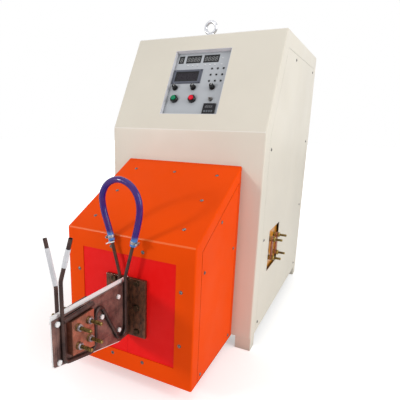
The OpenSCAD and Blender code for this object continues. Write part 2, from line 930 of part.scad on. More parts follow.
module panel_timer() {
    face = timer_side * 0.78;
    key_side = face / timer_keys;
    color("black") on_panel(timer_column_share, timer_row_share) difference() {
        union() {
            middle_cube([timer_side, timer_side, timer_bezel_t]);
            translate([0, 0, -timer_case_l]) middle_cube([timer_case, timer_case, timer_case_l]);
        }
        translate([0, face / 2 - timer_window_h / 2, timer_bezel_t - overrun])
            middle_cube([face, timer_window_h, 2 * overrun]);
        for (i = [0 : timer_keys - 1])
            translate([(i - (timer_keys - 1) / 2) * key_side, -face / 4, timer_bezel_t - overrun / 2])
                middle_cube([key_side * 0.8, key_side, overrun]);
    }
}

// Side terminals
nut_h = 8;
nut_across = 17;
washer_d = 22;
washer_t = 2;
link_w = 20;
link_t = 6;
stud_tail = 22;

module at_terminals() {
    for (i = [-1, 1])
        for (j = [-1, 1])
            translate([
                board_x, window_y + window_w / 2 + i * terminal_pitch_y / 2,
                window_z + window_h / 2 + j * terminal_pitch_z / 2
            ]) rotate([0, 90, 0]) children();
}

module terminal_board() {
    color("orange") difference() {
        translate([board_x - board_t, board_y, board_z]) cube([board_t, board_l, board_h]);
        at_terminals() translate([0, 0, -board_t - overrun])
            cylinder(h = board_t + 2 * overrun, d = terminal_d + 2 * fit);
        at_board_screws() screw_hole();
    }
}

module terminal_studs() {
    seat = washer_t + nut_h;
    color("darkgoldenrod") at_terminals() {
        translate([0, 0, -board_t - stud_tail])
            cylinder(h = board_t + stud_tail + board_depth + terminal_reach, d = terminal_d);
        cylinder(h = washer_t, d = washer_d);
        translate([0, 0, washer_t]) hex(nut_across, nut_h);
        translate([0, 0, seat + link_t]) {
            cylinder(h = washer_t, d = washer_d);
            translate([0, 0, washer_t]) hex(nut_across, nut_h);
        }
        translate([0, 0, -board_t - washer_t]) cylinder(h = washer_t, d = washer_d);
        translate([0, 0, -board_t - seat]) hex(nut_across, nut_h);
    }
}

module terminal_links() {
    seat = washer_t + nut_h;
    z = window_z + window_h / 2 - terminal_pitch_z / 2;
    color("saddlebrown") difference() {
        for (i = [-1, 1])
            translate([board_x + seat, window_y + window_w / 2 + i * terminal_pitch_y / 2, z]) {
                translate([0, -link_w / 2, 0]) cube([link_t, link_w, terminal_pitch_z]);
                for (j = [0, 1])
                    translate([0, 0, j * terminal_pitch_z]) rotate([0, 90, 0]) cylinder(h = link_t, d = link_w);
            }
        at_terminals() cylinder(h = seat + link_t + overrun, d = terminal_d + 2 * fit);
    }
}

// Heating station
lip_w = 30;
lip_lap = 12;
slope_bar_w = 30;
slope_bar_h = 15;
rear_rim = 32;

module station_cavity() {
    slab(
        -station_w / 2 + sheet_t, station_w - 2 * sheet_t,
        inset(station_outline, [sheet_t, sheet_t, sheet_t, sheet_t])
    );
}

module station_shell() {
    body = inset(station_outline, [0, 0, sheet_t, 0]);
    hollow = inset(station_outline, [sheet_t, sheet_t, -overrun, sheet_t]);
    lip_outer = [sheet_t, sheet_t, station_top_return - lip_lap, station_return - lip_lap];
    lip_inner = [lip_w, lip_w + station_rear_return, station_top_return + lip_w, station_return + lip_w];
    color("orangered") difference() {
        union() {
            difference() {
                slab(-station_w / 2, station_w, body);
                slab(-station_w / 2 + sheet_t, station_w - 2 * sheet_t, hollow);
                slab(
                    -station_w / 2 - overrun, station_w + 2 * overrun,
                    inset(station_outline, station_margins)
                );
                translate([-station_w / 2 + rear_rim, -sheet_t - overrun, station_z + rear_rim])
                    cube([station_w - 2 * rear_rim, sheet_t + 2 * overrun, station_rear_h - station_z]);
            }
            both_sides()
                slab_ring(
                    station_w / 2 - 2 * sheet_t, sheet_t,
                    inset(station_outline, lip_outer), inset(station_outline, lip_inner)
                );
            intersection() {
                station_cavity();
                on_station_slope() {
                    both_sides()
                        translate([slope_column - slope_bar_w / 2, 0, -sheet_t - slope_bar_h])
                            cube([slope_bar_w, station_slope_l, slope_bar_h]);
                    for (row = [slope_rows[0], slope_rows[2]])
                        translate([-slope_column, row - slope_bar_w / 2, -sheet_t - slope_bar_h])
                            cube([2 * slope_column, slope_bar_w, slope_bar_h]);
                }
            }
        }
        translate([-opening_w / 2, -station_d - overrun, opening_mid_z - opening_w / 2])
            cube([opening_w, sheet_t + 2 * overrun, opening_w]);
        at_station_side_screws() screw_hole();
        at_slope_screws() screw_hole();
        at_opening_screws() screw_hole();
    }
}

module station_slope_cover() {
    inner = inset(station_outline, [0, 0, sheet_t, 0]);
    color("orangered") difference() {
        slab(
            -station_w / 2, station_w,
            [inner[3], inner[2], station_outline[2], station_outline[3]]
        );
        at_slope_screws() screw_hole();
    }
}

module station_side() {
    difference() {
        slab(
            station_w / 2 - sheet_t, sheet_t,
            inset(station_outline, grown(station_margins, seam))
        );
        at_station_side_screws() screw_hole();
    }
}

module station_right_panel() {
    color("tomato") station_side();
}

module station_left_panel() {
    color("tomato") mirror([1, 0, 0]) station_side();
}

// Output plates. The left one ends further back, and so do the tube and block on it
plate_low_z = plate_top_z - plate_h;
plate_front_y = -output_face - plate_len;
plate_slope = plate_taper / (plate_len - plate_straight);
plate_outer = spacer_t / 2 + output_t;
flange_mid_x = plate_outer + flange_w / 2;
flange_mid_z = plate_low_z + plate_h / 2;
insulator_edge = opening_w / 2 + 2 * opening_screw_out;
bolt_d = 8;
bolt_head = 13;
bolt_head_h = 5;
bolt_share_places = [
    [0.0373, 0.943], [0.0403, 0.415], [0.5596, 0.632], [0.8026, 0.772], [0.8087, 0.218]
];
front_bolts = 2;
flange_bolt_d = 10;
flange_head = 17;
flange_head_h = 6.5;

function lower_edge(y) = plate_low_z
    + max(0, -output_face - plate_straight - y) * plate_slope;

function upper_edge(y) = plate_top_z - plate_fall * (y - plate_front_y) / plate_len;

module both_outputs() {
    children();
    translate([0, left_back, 0]) mirror([1, 0, 0]) children();
}

module plate_outline(front_y, proud) {
    polygon([
        [front_y, lower_edge(front_y) - proud * 0.75],
        [-output_face - plate_straight, plate_low_z - proud * 0.75],
        [-output_face, plate_low_z - proud * 0.75],
        [-output_face, upper_edge(-output_face) + proud],
        [front_y, upper_edge(front_y) + proud]
    ]);
}

module at_nylon_bolt(i) {
    p = bolt_share_places[i];
    translate([0, plate_front_y + p[0] * plate_len, plate_low_z + p[1] * plate_h])
        rotate([0, 90, 0]) children();
}

module bolt_holes(first) {
    for (i = [first : len(bolt_share_places) - 1])
        at_nylon_bolt(i) translate([0, 0, -plate_outer - overrun])
            cylinder(h = 2 * (plate_outer + overrun), d = bolt_d + 2 * fit);
}

module at_flange_bolts() {
    both_sides()
        for (row = [-1 : 1])
            translate([flange_mid_x, -output_face - flange_t, flange_mid_z + row * flange_pitch])
                rotate([90, 0, 0]) children();
}

module output_plate(front_y, first_bolt) {
    difference() {
        union() {
            translate([spacer_t / 2, 0, 0]) rotate([90, 0, 90]) linear_extrude(output_t)
                plate_outline(front_y, 0);
            translate([spacer_t / 2, -output_face - flange_t, plate_low_z])
                cube([output_t + flange_w, flange_t, flange_h]);
        }
        bolt_holes(first_bolt);
        at_flange_bolts() translate([0, 0, -flange_t - overrun])
            cylinder(h = flange_t + 2 * overrun, d = flange_bolt_d + 2 * fit);
    }
}

module right_output_plate() {
    color("#70524a") output_plate(plate_front_y, 0);
}

module left_output_plate() {
    color("#70524a") mirror([1, 0, 0]) output_plate(plate_front_y + left_short, front_bolts);
}

module spacer_sheet() {
    color("white") difference() {
        translate([-spacer_t / 2, 0, 0]) rotate([90, 0, 90]) linear_extrude(spacer_t)
            plate_outline(plate_front_y + spacer_back, spacer_proud);
        bolt_holes(0);
    }
}

// The front bolts miss the shorter left plate, so their heads bear on the spacer
module nylon_bolts() {
    color("ghostwhite")
        for (i = [0 : len(bolt_share_places) - 1])
            at_nylon_bolt(i) {
                left_seat = i < front_bolts ? spacer_t / 2 : plate_outer;
                translate([0, 0, -left_seat]) cylinder(h = left_seat + plate_outer, d = bolt_d);
                translate([0, 0, plate_outer]) hex(bolt_head, bolt_head_h);
                translate([0, 0, -left_seat - bolt_head_h]) hex(bolt_head, bolt_head_h);
            }
}

module flange_bolts() {
    grip = flange_t + insulator_t + lug_t;
    color("#5a463a") at_flange_bolts() {
        translate([0, 0, -grip]) cylinder(h = grip, d = flange_bolt_d);
        hex(flange_head, flange_head_h);
    }
}

module insulating_panel_right() {
    color("red") difference() {
        translate([seam / 4, -output_face, opening_mid_z - insulator_edge])
            cube([insulator_edge - seam / 4, insulator_t, 2 * insulator_edge]);
        at_opening_screws() screw_hole();
        at_flange_bolts() translate([0, 0, -flange_t - insulator_t - overrun])
            cylinder(h = flange_t + insulator_t + overrun, d = flange_bolt_d + 2 * fit);
    }
}

module insulating_panel_left() {
    mirror([1, 0, 0]) insulating_panel_right();
}

// Clamp blocks, brazed on the plates' outer faces
block_in = 44;
block_drop = 17;
block_h = 90;
block_skew = 17;
stud_drop = 48;
block_front_y = plate_front_y + block_in;
block_top_z = plate_top_z - block_drop;
block_front_z = block_top_z - block_h;
block_rear_z = block_front_z - block_skew;
stud_mid_y = block_front_y + block_l / 2;
stud_mid_z = block_top_z - stud_drop;
stud_sunk = 13;

module at_clamp_studs() {
    both_outputs()
        for (i = [-1, 1])
            for (j = [-1, 1])
                translate([
                    plate_outer + block_t, stud_mid_y + i * stud_pitch_y / 2,
                    stud_mid_z + j * stud_pitch_z / 2
                ]) rotate([0, 90, 0]) children();
}

module clamp_blocks() {
    outline = [
        [block_front_y, block_front_z], [block_front_y + block_l, block_rear_z],
        [block_front_y + block_l, block_top_z], [block_front_y, block_top_z]
    ];
    color("#b8735f") difference() {
        both_outputs() slab(plate_outer, block_t, outline);
        at_clamp_studs() translate([0, 0, -stud_sunk - fit])
            cylinder(h = stud_sunk + fit + overrun, d = stud_d + 2 * fit);
    }
}

module clamp_studs() {
    color("#96804a") at_clamp_studs() {
        translate([0, 0, -stud_sunk]) cylinder(h = stud_sunk + stud_reach, d = stud_d);
        cylinder(h = washer_t, d = washer_d);
        translate([0, 0, washer_t]) hex(nut_across, nut_h);
    }
}

// Cooling tubes: straight runs that touch the circles of the bends. A bend is its middle's
// y and z, its radius, and 1 for a turn to the left or -1 for a turn to the right. The
// tubes are a hair fuller round their bends, and the straight runs reach into them.
bend_swell = 0.1;
bend_lap = 0.5;
tube_x = plate_outer + (tube_d + bend_swell) / 2;
edge_gap = tube_d * 0.6;
drop_in = 26;
leg_in = 149;
rear_in = 33;
corner_r = 25;
heel_r = 22;
arch_r = 18;
lean_r = 40;
right_rise = 85;
left_rise = 60;
rear_rise = 2;
arch_drop = 56;
right_heel_r = 22;
right_heel_up = 39;
left_heel_r = 30;
left_heel_up = 47;
bar_d = 13;
drop_y = plate_front_y + drop_in;
leg_y = plate_front_y + leg_in;
rear_y = -output_face - rear_in;
rear_bend_z = plate_top_z + rear_rise;
edge_cos = cos(atan(plate_slope));

function above_edge(y, r) = lower_edge(y) + (edge_gap + r) / edge_cos;
function tube_bends(rise, rear_r, rear_up) = [
    [drop_y, plate_top_z + rise, 0, 1],
    [drop_y + corner_r, above_edge(drop_y + corner_r, corner_r), corner_r, 1],
    [leg_y - heel_r, above_edge(leg_y - heel_r, heel_r), heel_r, 1],
    [leg_y + arch_r, plate_top_z - arch_drop, arch_r, -1],
    [rear_y - rear_r, plate_low_z + rear_up, rear_r, 1],
    [rear_y, rear_bend_z, 0, 1]
];

function middle(b) = [b[0], b[1]];
function turn(b) = b[2] * b[3];
function heading(a, b) = let (d = middle(b) - middle(a))
    atan2(d[1], d[0]) - asin((turn(b) - turn(a)) / norm(d));
function touch(b, angle) = middle(b) - turn(b) * [-sin(angle), cos(angle)];

module tube_route(bends, d) {
    last = len(bends) - 1;
    rotate([90, 0, 90]) {
        for (i = [0 : last - 1]) {
            angle = heading(bends[i], bends[i + 1]);
            from = touch(bends[i], angle);
            to = touch(bends[i + 1], angle);
            translate(from) rotate([0, 90, angle]) translate([0, 0, -bend_lap])
                cylinder(h = norm(to - from) + 2 * bend_lap, d = d);
        }
        for (i = [1 : last - 1]) {
            b = bends[i];
            arriving = heading(bends[i - 1], b);
            leaving = heading(b, bends[i + 1]);
            start = b[3] > 0 ? arriving - 90 : leaving + 90;
            translate(middle(b)) rotate([0, 0, start]) rotate_extrude(angle = abs(leaving - arriving))
                translate([b[2], 0]) circle(d = d + bend_swell);
        }
    }
}

module lean_point(lean, along) {
    translate([lean_r, 0, 0]) rotate([0, lean, 0]) translate([-lean_r, 0, along]) children();
}

module leaning_end(lean, length, d) {
    translate([lean_r, 0, 0]) rotate([90, 0, 0]) rotate([0, 0, 180 - lean])
        rotate_extrude(angle = lean) translate([lean_r, 0]) circle(d = d + bend_swell);
    lean_point(lean, -bend_lap) cylinder(h = length + bend_lap, d = d);
}

module tube_core(bends, lean, stub, d, extra) {
    translate([tube_x, 0, 0]) {
        tube_route(bends, d);
        translate([0, drop_y, bends[0][1]]) leaning_end(lean, stub + extra, d);
        translate([0, rear_y, rear_bend_z]) leaning_end(rear_lean, rear_stub + extra, d);
    }
}

// Each tube carries a short bar, brazed in the angle above its clamp block
module cooling_tube(bends, lean, stub) {
    difference() {
        union() {
            tube_core(bends, lean, stub, tube_d, 0);
            translate([plate_outer + (bar_d + bend_swell) / 2, drop_y, block_top_z + bar_d / 2 + fit])
                rotate([-90, 0, 0]) cylinder(h = block_in + block_l - drop_in + tube_d, d = bar_d);
        }
        tube_core(bends, lean, stub, tube_d - 2 * tube_wall, overrun);
    }
}

module right_cooling_tube() {
    color("#6e4f49")
        cooling_tube(tube_bends(right_rise, right_heel_r, right_heel_up), right_lean, right_stub);
}

module left_cooling_tube() {
    color("#6e4f49") translate([0, left_back, 0]) mirror([1, 0, 0])
        cooling_tube(tube_bends(left_rise, left_heel_r, left_heel_up), left_lean, left_stub);
}

// Hose loop between the rear stubs, across and up. Between its straight ends it comes
// forward evenly on its way to the right.
hose_route = [
    [-41.8, 478], [-49.5, 507], [-58.5, 536], [-66, 561], [-70.5, 586], [-71, 608], [-63.5, 630],
    [-50, 647], [-32, 658], [-11, 663], [9.5, 660], [29, 651], [45, 636], [56.5, 616], [62, 591],
    [61.5, 565], [56.5, 536.5], [49.5, 507], [41.8, 478]
];
hose_sides = 10;

function hose_heading(i) = let (
    n = len(hose_route) - 1,
    d = hose_route[min(i + 1, n)] - hose_route[max(i - 1, 0)]
) atan2(d[1], d[0]);
function hose_y(i) = let (share = (i - 1) / (len(hose_route) - 3))
    rear_y + left_back * (1 - max(0, min(1, share)));
function hose_ring(i) = let (p = hose_route[i], a = hose_heading(i)) [
    for (k = [0 : hose_sides - 1])
        let (t = k * 360 / hose_sides, r = hose_d / 2)
        [p[0] - r * cos(t) * sin(a), hose_y(i) + r * sin(t), p[1] + r * cos(t) * cos(a)]
];

module jumper_hose() {
    rings = len(hose_route);
    points = [for (i = [0 : rings - 1]) each hose_ring(i)];
    walls = [
        for (i = [0 : rings - 2], k = [0 : hose_sides - 1])
            let (a = i * hose_sides + k, b = i * hose_sides + (k + 1) % hose_sides)
            each [[a, b, a + hose_sides], [b, b + hose_sides, a + hose_sides]]
    ];
    first = [for (k = [hose_sides - 1 : -1 : 0]) k];
    final = [for (k = [0 : hose_sides - 1]) (rings - 1) * hose_sides + k];
    color("slateblue") polyhedron(points, concat(walls, [first, final]), convexity = 4);
}

clamp_w = 9;
clamp_t = 1;
clamp_at = 105;
clamp_house = [13, 7, 6];
clamp_screw_l = 20;

module hose_clamp() {
    inner = hose_d + 2 * slide_fit;
    outer = inner + 2 * clamp_t;
    difference() {
        union() {
            cylinder(h = clamp_w, d = outer);
            translate([outer / 2 - clamp_t / 2, -clamp_house[0] / 2, (clamp_w - clamp_house[1]) / 2])
                cube([clamp_house[2], clamp_house[0], clamp_house[1]]);
            translate([outer / 2 + clamp_house[2] / 2, -clamp_screw_l / 2, clamp_w / 2]) rotate([-90, 0, 0]) {
                cylinder(h = clamp_screw_l, d = clamp_house[2] * 0.7);
                hex(clamp_house[1], clamp_house[2] / 2);
            }
        }
        translate([0, 0, -overrun]) cylinder(h = clamp_w + 2 * overrun, d = inner);
    }
}

module hose_clamps() {
    color("silver") both_outputs()
        translate([tube_x, rear_y, rear_bend_z]) lean_point(rear_lean, clamp_at) hose_clamp();
}

// Inside the heating station
lug_t = 10;
core_w = 210;
core_d = 90;
core_h = 190;
core_window_w = 42;
core_foot_h = plate_low_z - station_z - sheet_t;
core_back = 70;
coil_t = 28;

module transformer_core() {
    leg = (core_w - 2 * core_window_w) / 4;
    low_z = plate_low_z;
    front_y = -output_face + insulator_t + lug_t + core_back;
    color("dimgray") translate([0, front_y, 0]) {
        difference() {
            translate([-core_w / 2, 0, low_z]) cube([core_w, core_d, core_h]);
            both_sides()
                translate([leg, -overrun, low_z + leg])
                    cube([core_window_w, core_d + 2 * overrun, core_h - 2 * leg]);
        }
        both_sides()
            translate([core_w / 2 - leg, core_d / 4, station_z + sheet_t]) cube([leg, core_d / 2, core_foot_h]);
    }
}

module transformer_winding() {
    leg = (core_w - 2 * core_window_w) / 4;
    low_z = plate_low_z;
    front_y = -output_face + insulator_t + lug_t + core_back;
    coil_w = 2 * leg + 2 * fit;
    coil_d = core_d + 2 * fit;
    coil_z = low_z + leg + fit;
    coil_h = core_h - 2 * leg - 2 * fit;
    color("chocolate") {
        translate([0, front_y + core_d / 2, coil_z]) difference() {
            middle_cube([coil_w + 2 * coil_t, coil_d + 2 * coil_t, coil_h]);
            translate([0, 0, -overrun]) middle_cube([coil_w, coil_d, coil_h + 2 * overrun]);
        }
        difference() {
            both_sides() {
                translate([plate_outer, -output_face + insulator_t, plate_low_z])
                    cube([flange_w, lug_t, plate_h]);
                translate([plate_outer, -output_face + insulator_t, coil_z])
                    cube([lug_t, lug_t + core_back - coil_t - fit, coil_h]);
            }
            at_flange_bolts() translate([0, 0, -2 * flange_t - insulator_t - lug_t])
                cylinder(h = 2 * (flange_t + insulator_t + lug_t), d = flange_bolt_d + 2 * fit);
        }
    }
}

can_w = 80;
can_d = 60;
can_h = 100;
can_gap = 12;

module tank_capacitors() {
    can_y = -can_d - rear_rim;
    color("lightsteelblue")
        for (i = [-1.5 : 1 : 1.5])
            translate([i * (can_w + can_gap), can_y + can_d / 2, station_z + sheet_t]) {
                middle_cube([can_w, can_d, can_h]);
                for (side = [-1, 1])
                    translate([side * can_w / 4, 0, can_h]) cylinder(h = can_gap, d = can_gap);
            }
}

// Inside the cabinet
cold_plate = [320, 240, 15];
module_size = [62, 150, 36];
bank_d = 76;
bank_h = 130;
bank_pitch = 90;

module power_modules() {
    base_z = shelf_z + shelf_t;
    front_y = band_y + 2 * shelf_rail;
    color("gainsboro") {
        translate([-cold_plate[0] / 2, front_y, base_z]) cube(cold_plate);
        for (i = [-1 : 1])
            translate([i * (module_size[0] + can_gap), front_y + cold_plate[1] / 2, base_z + cold_plate[2]]) {
                middle_cube(module_size);
                for (j = [-1 : 1])
                    translate([0, j * module_size[1] / 3, module_size[2]]) cylinder(h = can_gap / 2, d = can_gap);
            }
        for (i = [-1.5 : 1 : 1.5])
            translate([i * bank_pitch, front_y + cold_plate[1] + bank_d, base_z]) {
                cylinder(h = bank_h, d = bank_d);
                translate([0, 0, bank_h]) cylinder(h = can_gap, d = bank_d / 3);
            }
    }
}

pipe_back = 50;
pipe_flange_t = 4;
branch_l = 35;
branch_d = 12;
branches = 4;

module water_manifold() {
    color("goldenrod")
        for (row = [0, 1])
            translate([manifold_x, cabinet_d - sheet_t, manifold_low_z + row * manifold_pitch]) {
                difference() {
                    union() {
                        translate([0, -pipe_back, 0]) rotate([-90, 0, 0])
                            cylinder(h = pipe_back + sheet_t + tail_reach, d = tail_d);
                        translate([0, -pipe_flange_t, 0]) rotate([-90, 0, 0])
                            cylinder(h = pipe_flange_t, d = tail_d * 2);
                        translate([0, sheet_t, 0]) rotate([-90, 0, 0]) hex(tail_d * 1.5, pipe_flange_t * 2);
                        translate([-pipe_l / 2, -pipe_back, 0]) rotate([0, 90, 0]) cylinder(h = pipe_l, d = pipe_d);
                        for (i = [0 : branches - 1])
                            translate([(i + 0.5) * pipe_l / branches - pipe_l / 2, -pipe_back, 0])
                                rotate([90, 0, 0]) cylinder(h = branch_l, d = branch_d);
                    }
                    translate([0, -pipe_back, 0]) rotate([-90, 0, 0])
                        cylinder(h = pipe_back + sheet_t + tail_reach + overrun, d = tail_d * 0.7);
                }
            }
}

gland_out = 30;
gland_flange = 8;

module cable_gland() {
    bore = gland_hole_d * 0.6;
    color("dimgray") translate([gland_x, cabinet_d, gland_z]) rotate([-90, 0, 0]) difference() {
        union() {
            translate([0, 0, -sheet_t - gland_flange]) hex(gland_hole_d + gland_flange, gland_flange);
            translate([0, 0, -sheet_t - gland_flange]) cylinder(h = sheet_t + 2 * gland_flange, d = gland_hole_d);
            hex(gland_hole_d + gland_flange, gland_flange);
            translate([0, 0, gland_flange])
                cylinder(h = gland_out - gland_flange, d1 = gland_hole_d + gland_flange, d2 = gland_hole_d * 0.8);
        }
        translate([0, 0, -gland_out]) cylinder(h = 2 * gland_out + overrun, d = bore);
    }
}

centred() cabinet_base();
centred() cabinet_frame();
centred() cabinet_shell();
centred() right_side_panel();
centred() left_side_panel();
centred() rear_panel();
centred() eye_bolts();
centred() panel_screws();
centred() panel_tray();
centred() panel_plate();
centred() display_modules();
centred() screen_bezel();
centred() screen_glass();
centred() indicator_lamps();
centred() control_board();
centred() potentiometers();
centred() push_button_bodies();
centred() toggle_switch();
centred() panel_timer();
centred() key_at(0);  // key_1
centred() key_at(1);  // key_2
centred() key_at(2);  // key_3
centred() key_at(3);  // key_4
centred() key_at(4);  // key_5
centred() key_at(5);  // key_6
centred() key_at(6);  // key_7
centred() key_at(7);  // key_8
centred() key_at(8);  // key_9
centred() knob_at(-1);  // knob_left
centred() knob_at(0);  // knob_middle
centred() knob_at(1);  // knob_right
centred() cap_at(green_column_share, "green");  // green_button
centred() cap_at(red_column_share, "red");  // red_button
centred() toggle_lever();
centred() terminal_board();
centred() terminal_studs();
centred() terminal_links();
centred() station_shell();
centred() station_slope_cover();
centred() station_right_panel();
centred() station_left_panel();
centred() insulating_panel_left();
centred() insulating_panel_right();
centred() left_output_plate();
centred() right_output_plate();
centred() spacer_sheet();
centred() clamp_blocks();
centred() clamp_studs();
centred() nylon_bolts();
centred() flange_bolts();
centred() left_cooling_tube();
centred() right_cooling_tube();
centred() jumper_hose();
centred() hose_clamps();
centred() transformer_core();
centred() transformer_winding();
centred() tank_capacitors();
centred() power_modules();
centred() water_manifold();
centred() cable_gland();
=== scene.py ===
import math
import random

import bmesh
import bpy
from mathutils import Matrix, Vector


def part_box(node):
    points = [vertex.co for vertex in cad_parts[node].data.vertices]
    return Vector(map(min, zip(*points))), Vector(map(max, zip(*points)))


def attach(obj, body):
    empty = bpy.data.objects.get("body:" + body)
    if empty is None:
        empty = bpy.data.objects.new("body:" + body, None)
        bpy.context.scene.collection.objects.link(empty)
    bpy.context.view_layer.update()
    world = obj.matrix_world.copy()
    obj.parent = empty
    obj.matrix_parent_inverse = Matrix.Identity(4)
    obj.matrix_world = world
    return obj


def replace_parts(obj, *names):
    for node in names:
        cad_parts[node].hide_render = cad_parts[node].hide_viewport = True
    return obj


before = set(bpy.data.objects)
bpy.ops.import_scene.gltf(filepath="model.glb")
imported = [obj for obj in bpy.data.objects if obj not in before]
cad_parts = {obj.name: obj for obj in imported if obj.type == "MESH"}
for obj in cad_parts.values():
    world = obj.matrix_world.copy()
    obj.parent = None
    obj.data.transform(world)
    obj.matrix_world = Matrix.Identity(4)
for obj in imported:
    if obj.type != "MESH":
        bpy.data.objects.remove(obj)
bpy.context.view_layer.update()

# Places are given in millimetres from the middle of the cabinet's front face, at floor level
MM = 0.001
shell_low, shell_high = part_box("cabinet_shell")
CENTRE_X = (shell_low.x + shell_high.x) / 2
FACE_Y = shell_low.y
X_AXIS = Vector((1, 0, 0))
Y_AXIS = Vector((0, 1, 0))
Z_AXIS = Vector((0, 0, 1))

SHEET = 2
CABINET_W = 600
CABINET_D = 900
CABINET_H = 1145
CABINET_LOW = 48
FOLD_H = 795
SLOPE_RUN = 192
RETURN_W = 60
STATION_W = 450
STATION_D = 365
STATION_LOW = 45
STATION_FRONT_H = 492
STATION_REAR_H = 680
SEAM_MORE = 1.4
STATION_MARGINS = (SHEET, 20, 40, 45)
WINDOW = 330
WINDOW_MID_Z = 270
BEND_R = 6
PANEL_W = 222
PANEL_L = 268
PANEL_LOW = 64
PANEL_DEPTH = 16
TRAY_T = 1.5
REAR_RIM = 32
LIP_W = 30
LIP_LAP = 12
SCREW_LEN = 11
SCREW_HEAD_H = 3
TUBE_X = 15.05
DROP_Y = -661
REAR_Y = -396
REAR_BEND_Z = 373
LEAN_R = 40
LEFT_BACK = 15
BLOCK_OUT = 28
STUD_Y = -601.5
STUD_Z = 306
STUD_PITCH_Y = 41
STUD_PITCH_Z = 50
STUD_OUT = 41.5
STUD_SUNK = 13
FLANGE_T = 10
DISPLAY_ROW = 0.892 * PANEL_L
LAMP_ROW = 0.797 * PANEL_L
LAMP_SHARES = (-0.252, -0.164, -0.077, 0.065, 0.151, 0.239)
SCREEN_ROW = 0.614 * PANEL_L
SCREEN_X = -0.22 * PANEL_W
KNOB_ROW = 0.433 * PANEL_L
KNOB_X = -0.045 * PANEL_W
KNOB_PITCH = 75
BUTTON_ROW = 0.252 * PANEL_L
GREEN_X = -0.34 * PANEL_W
RED_X = -0.014 * PANEL_W
RING_H = 12
TIMER_X = 0.325 * PANEL_W
TIMER_ROW = 0.096 * PANEL_L

SLOPE_TILT = math.atan2(CABINET_H - FOLD_H, SLOPE_RUN)
STATION_TILT = math.atan2(STATION_REAR_H - STATION_FRONT_H, STATION_D)


def at(x, y, z):
    return Vector((CENTRE_X + x * MM, FACE_Y + y * MM, z * MM))


def placed(x, y, z, axis=Z_AXIS, turn=0.0):
    """From a shape's own millimetres, with its Z along axis, to the scene."""
    spin = Z_AXIS.rotation_difference(Vector(axis)).to_matrix().to_4x4()
    return Matrix.Translation(at(x, y, z)) @ spin @ Matrix.Rotation(turn, 4, "Z") @ Matrix.Scale(MM, 4)


def on_panel(x, up, out=0.0):
    """From millimetres on the recessed plate (Z outwards) to the scene; up is counted from its lower edge."""
    tilt = Matrix.Rotation(SLOPE_TILT, 4, "X")
    own = Matrix.Translation(Vector((x, PANEL_LOW + up, out - PANEL_DEPTH)) * MM)
    return Matrix.Translation(at(0, 0, FOLD_H)) @ tilt @ own @ Matrix.Scale(MM, 4)


# Shapes

CORNER_STEPS = 4
EDGE_ANGLE = math.radians(30)
CHAMFER_SHARE = 0.07
END_SHARE = 0.97
THREAD_SHARE = 0.55
RUN_OUT = 0.35
TIP_H = 0.3
TIP_IN = 0.4


def linked(name, data):
    obj = bpy.data.objects.new(name, data)
    bpy.context.scene.collection.objects.link(obj)
    return obj


def mesh_of(name, bm):
    """The mesh of a bmesh, which is freed."""
    mesh = bpy.data.meshes.new(name)
    bm.to_mesh(mesh)
    bm.free()
    return mesh


def show(name, bm, finish, body="machine", sharp=35):
    bmesh.ops.recalc_face_normals(bm, faces=bm.faces)
    mesh = mesh_of(name, bm)
    mesh.materials.append(FINISH[finish])
    mesh.shade_smooth()
    mesh.set_sharp_from_angle(angle=math.radians(sharp))
    piece = linked(name, mesh)
    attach(piece, body)
    return piece


def add_faces(bm, points, faces, place):
    verts = [bm.verts.new(place @ Vector(p)) for p in points]
    for face in faces:
        bm.faces.new([verts[i] for i in face])
    return verts


def polar(radius, angle, z):
    return Vector((radius * math.cos(angle), radius * math.sin(angle), z))


def circle(bm, radius, z, place, sides):
    """Corners round Z, or the one corner on it where the radius is 0."""
    if radius == 0:
        return [bm.verts.new(place @ Vector((0, 0, z)))]
    return [bm.verts.new(place @ polar(radius, 2 * math.pi * i / sides, z)) for i in range(sides)]


def band(bm, low, high):
    """Faces between two rings of as many corners."""
    for i in range(len(low)):
        j = (i + 1) % len(low)
        bm.faces.new([low[i], low[j], high[j], high[i]])


def turned(bm, profile, place, sides=32):
    """A profile of (radius, height) turned about Z; a radius of 0 at an end closes it."""
    rings = [circle(bm, radius, height, place, sides) for radius, height in profile]
    for low, high in zip(rings, rings[1:]):
        for i in range(sides):
            j = (i + 1) % sides
            corners = [low[i % len(low)], low[j % len(low)], high[j % len(high)], high[i % len(high)]]
            unique = list(dict.fromkeys(corners))
            if len(unique) > 2:
                bm.faces.new(unique)


def closed_ring(bm, profile, place, sides=32):
    """A closed profile of (radius, height) turned about Z, such as a washer or a sleeve."""
    rings = [circle(bm, radius, height, place, sides) for radius, height in profile]
    for k, low in enumerate(rings):
        band(bm, low, rings[(k + 1) % len(rings)])


def prism(bm, outline, height, place, low=0.0):
    n = len(outline)
    points = [(x, y, low) for x, y in outline] + [(x, y, low + height) for x, y in outline]
    faces = [list(range(n))[::-1], list(range(n, 2 * n))]
    faces += [[i, (i + 1) % n, n + (i + 1) % n, n + i] for i in range(n)]
    return add_faces(bm, points, faces, place)


def rounded(bm, edges, width, segments):
    bmesh.ops.bevel(
        bm, geom=edges, offset=width, offset_type="OFFSET", segments=segments, profile=0.5,
        affect="EDGES", clamp_overlap=True
    )


def soften(bm, verts, width):
    """Rounds the sharp edges among these new corners."""
    chosen = set(verts)
    edges = []
    for edge in bm.edges:
        if edge.verts[0] in chosen and edge.verts[1] in chosen and len(edge.link_faces) == 2:
            if edge.calc_face_angle() > EDGE_ANGLE:
                edges.append(edge)
    rounded(bm, edges, width, 2)


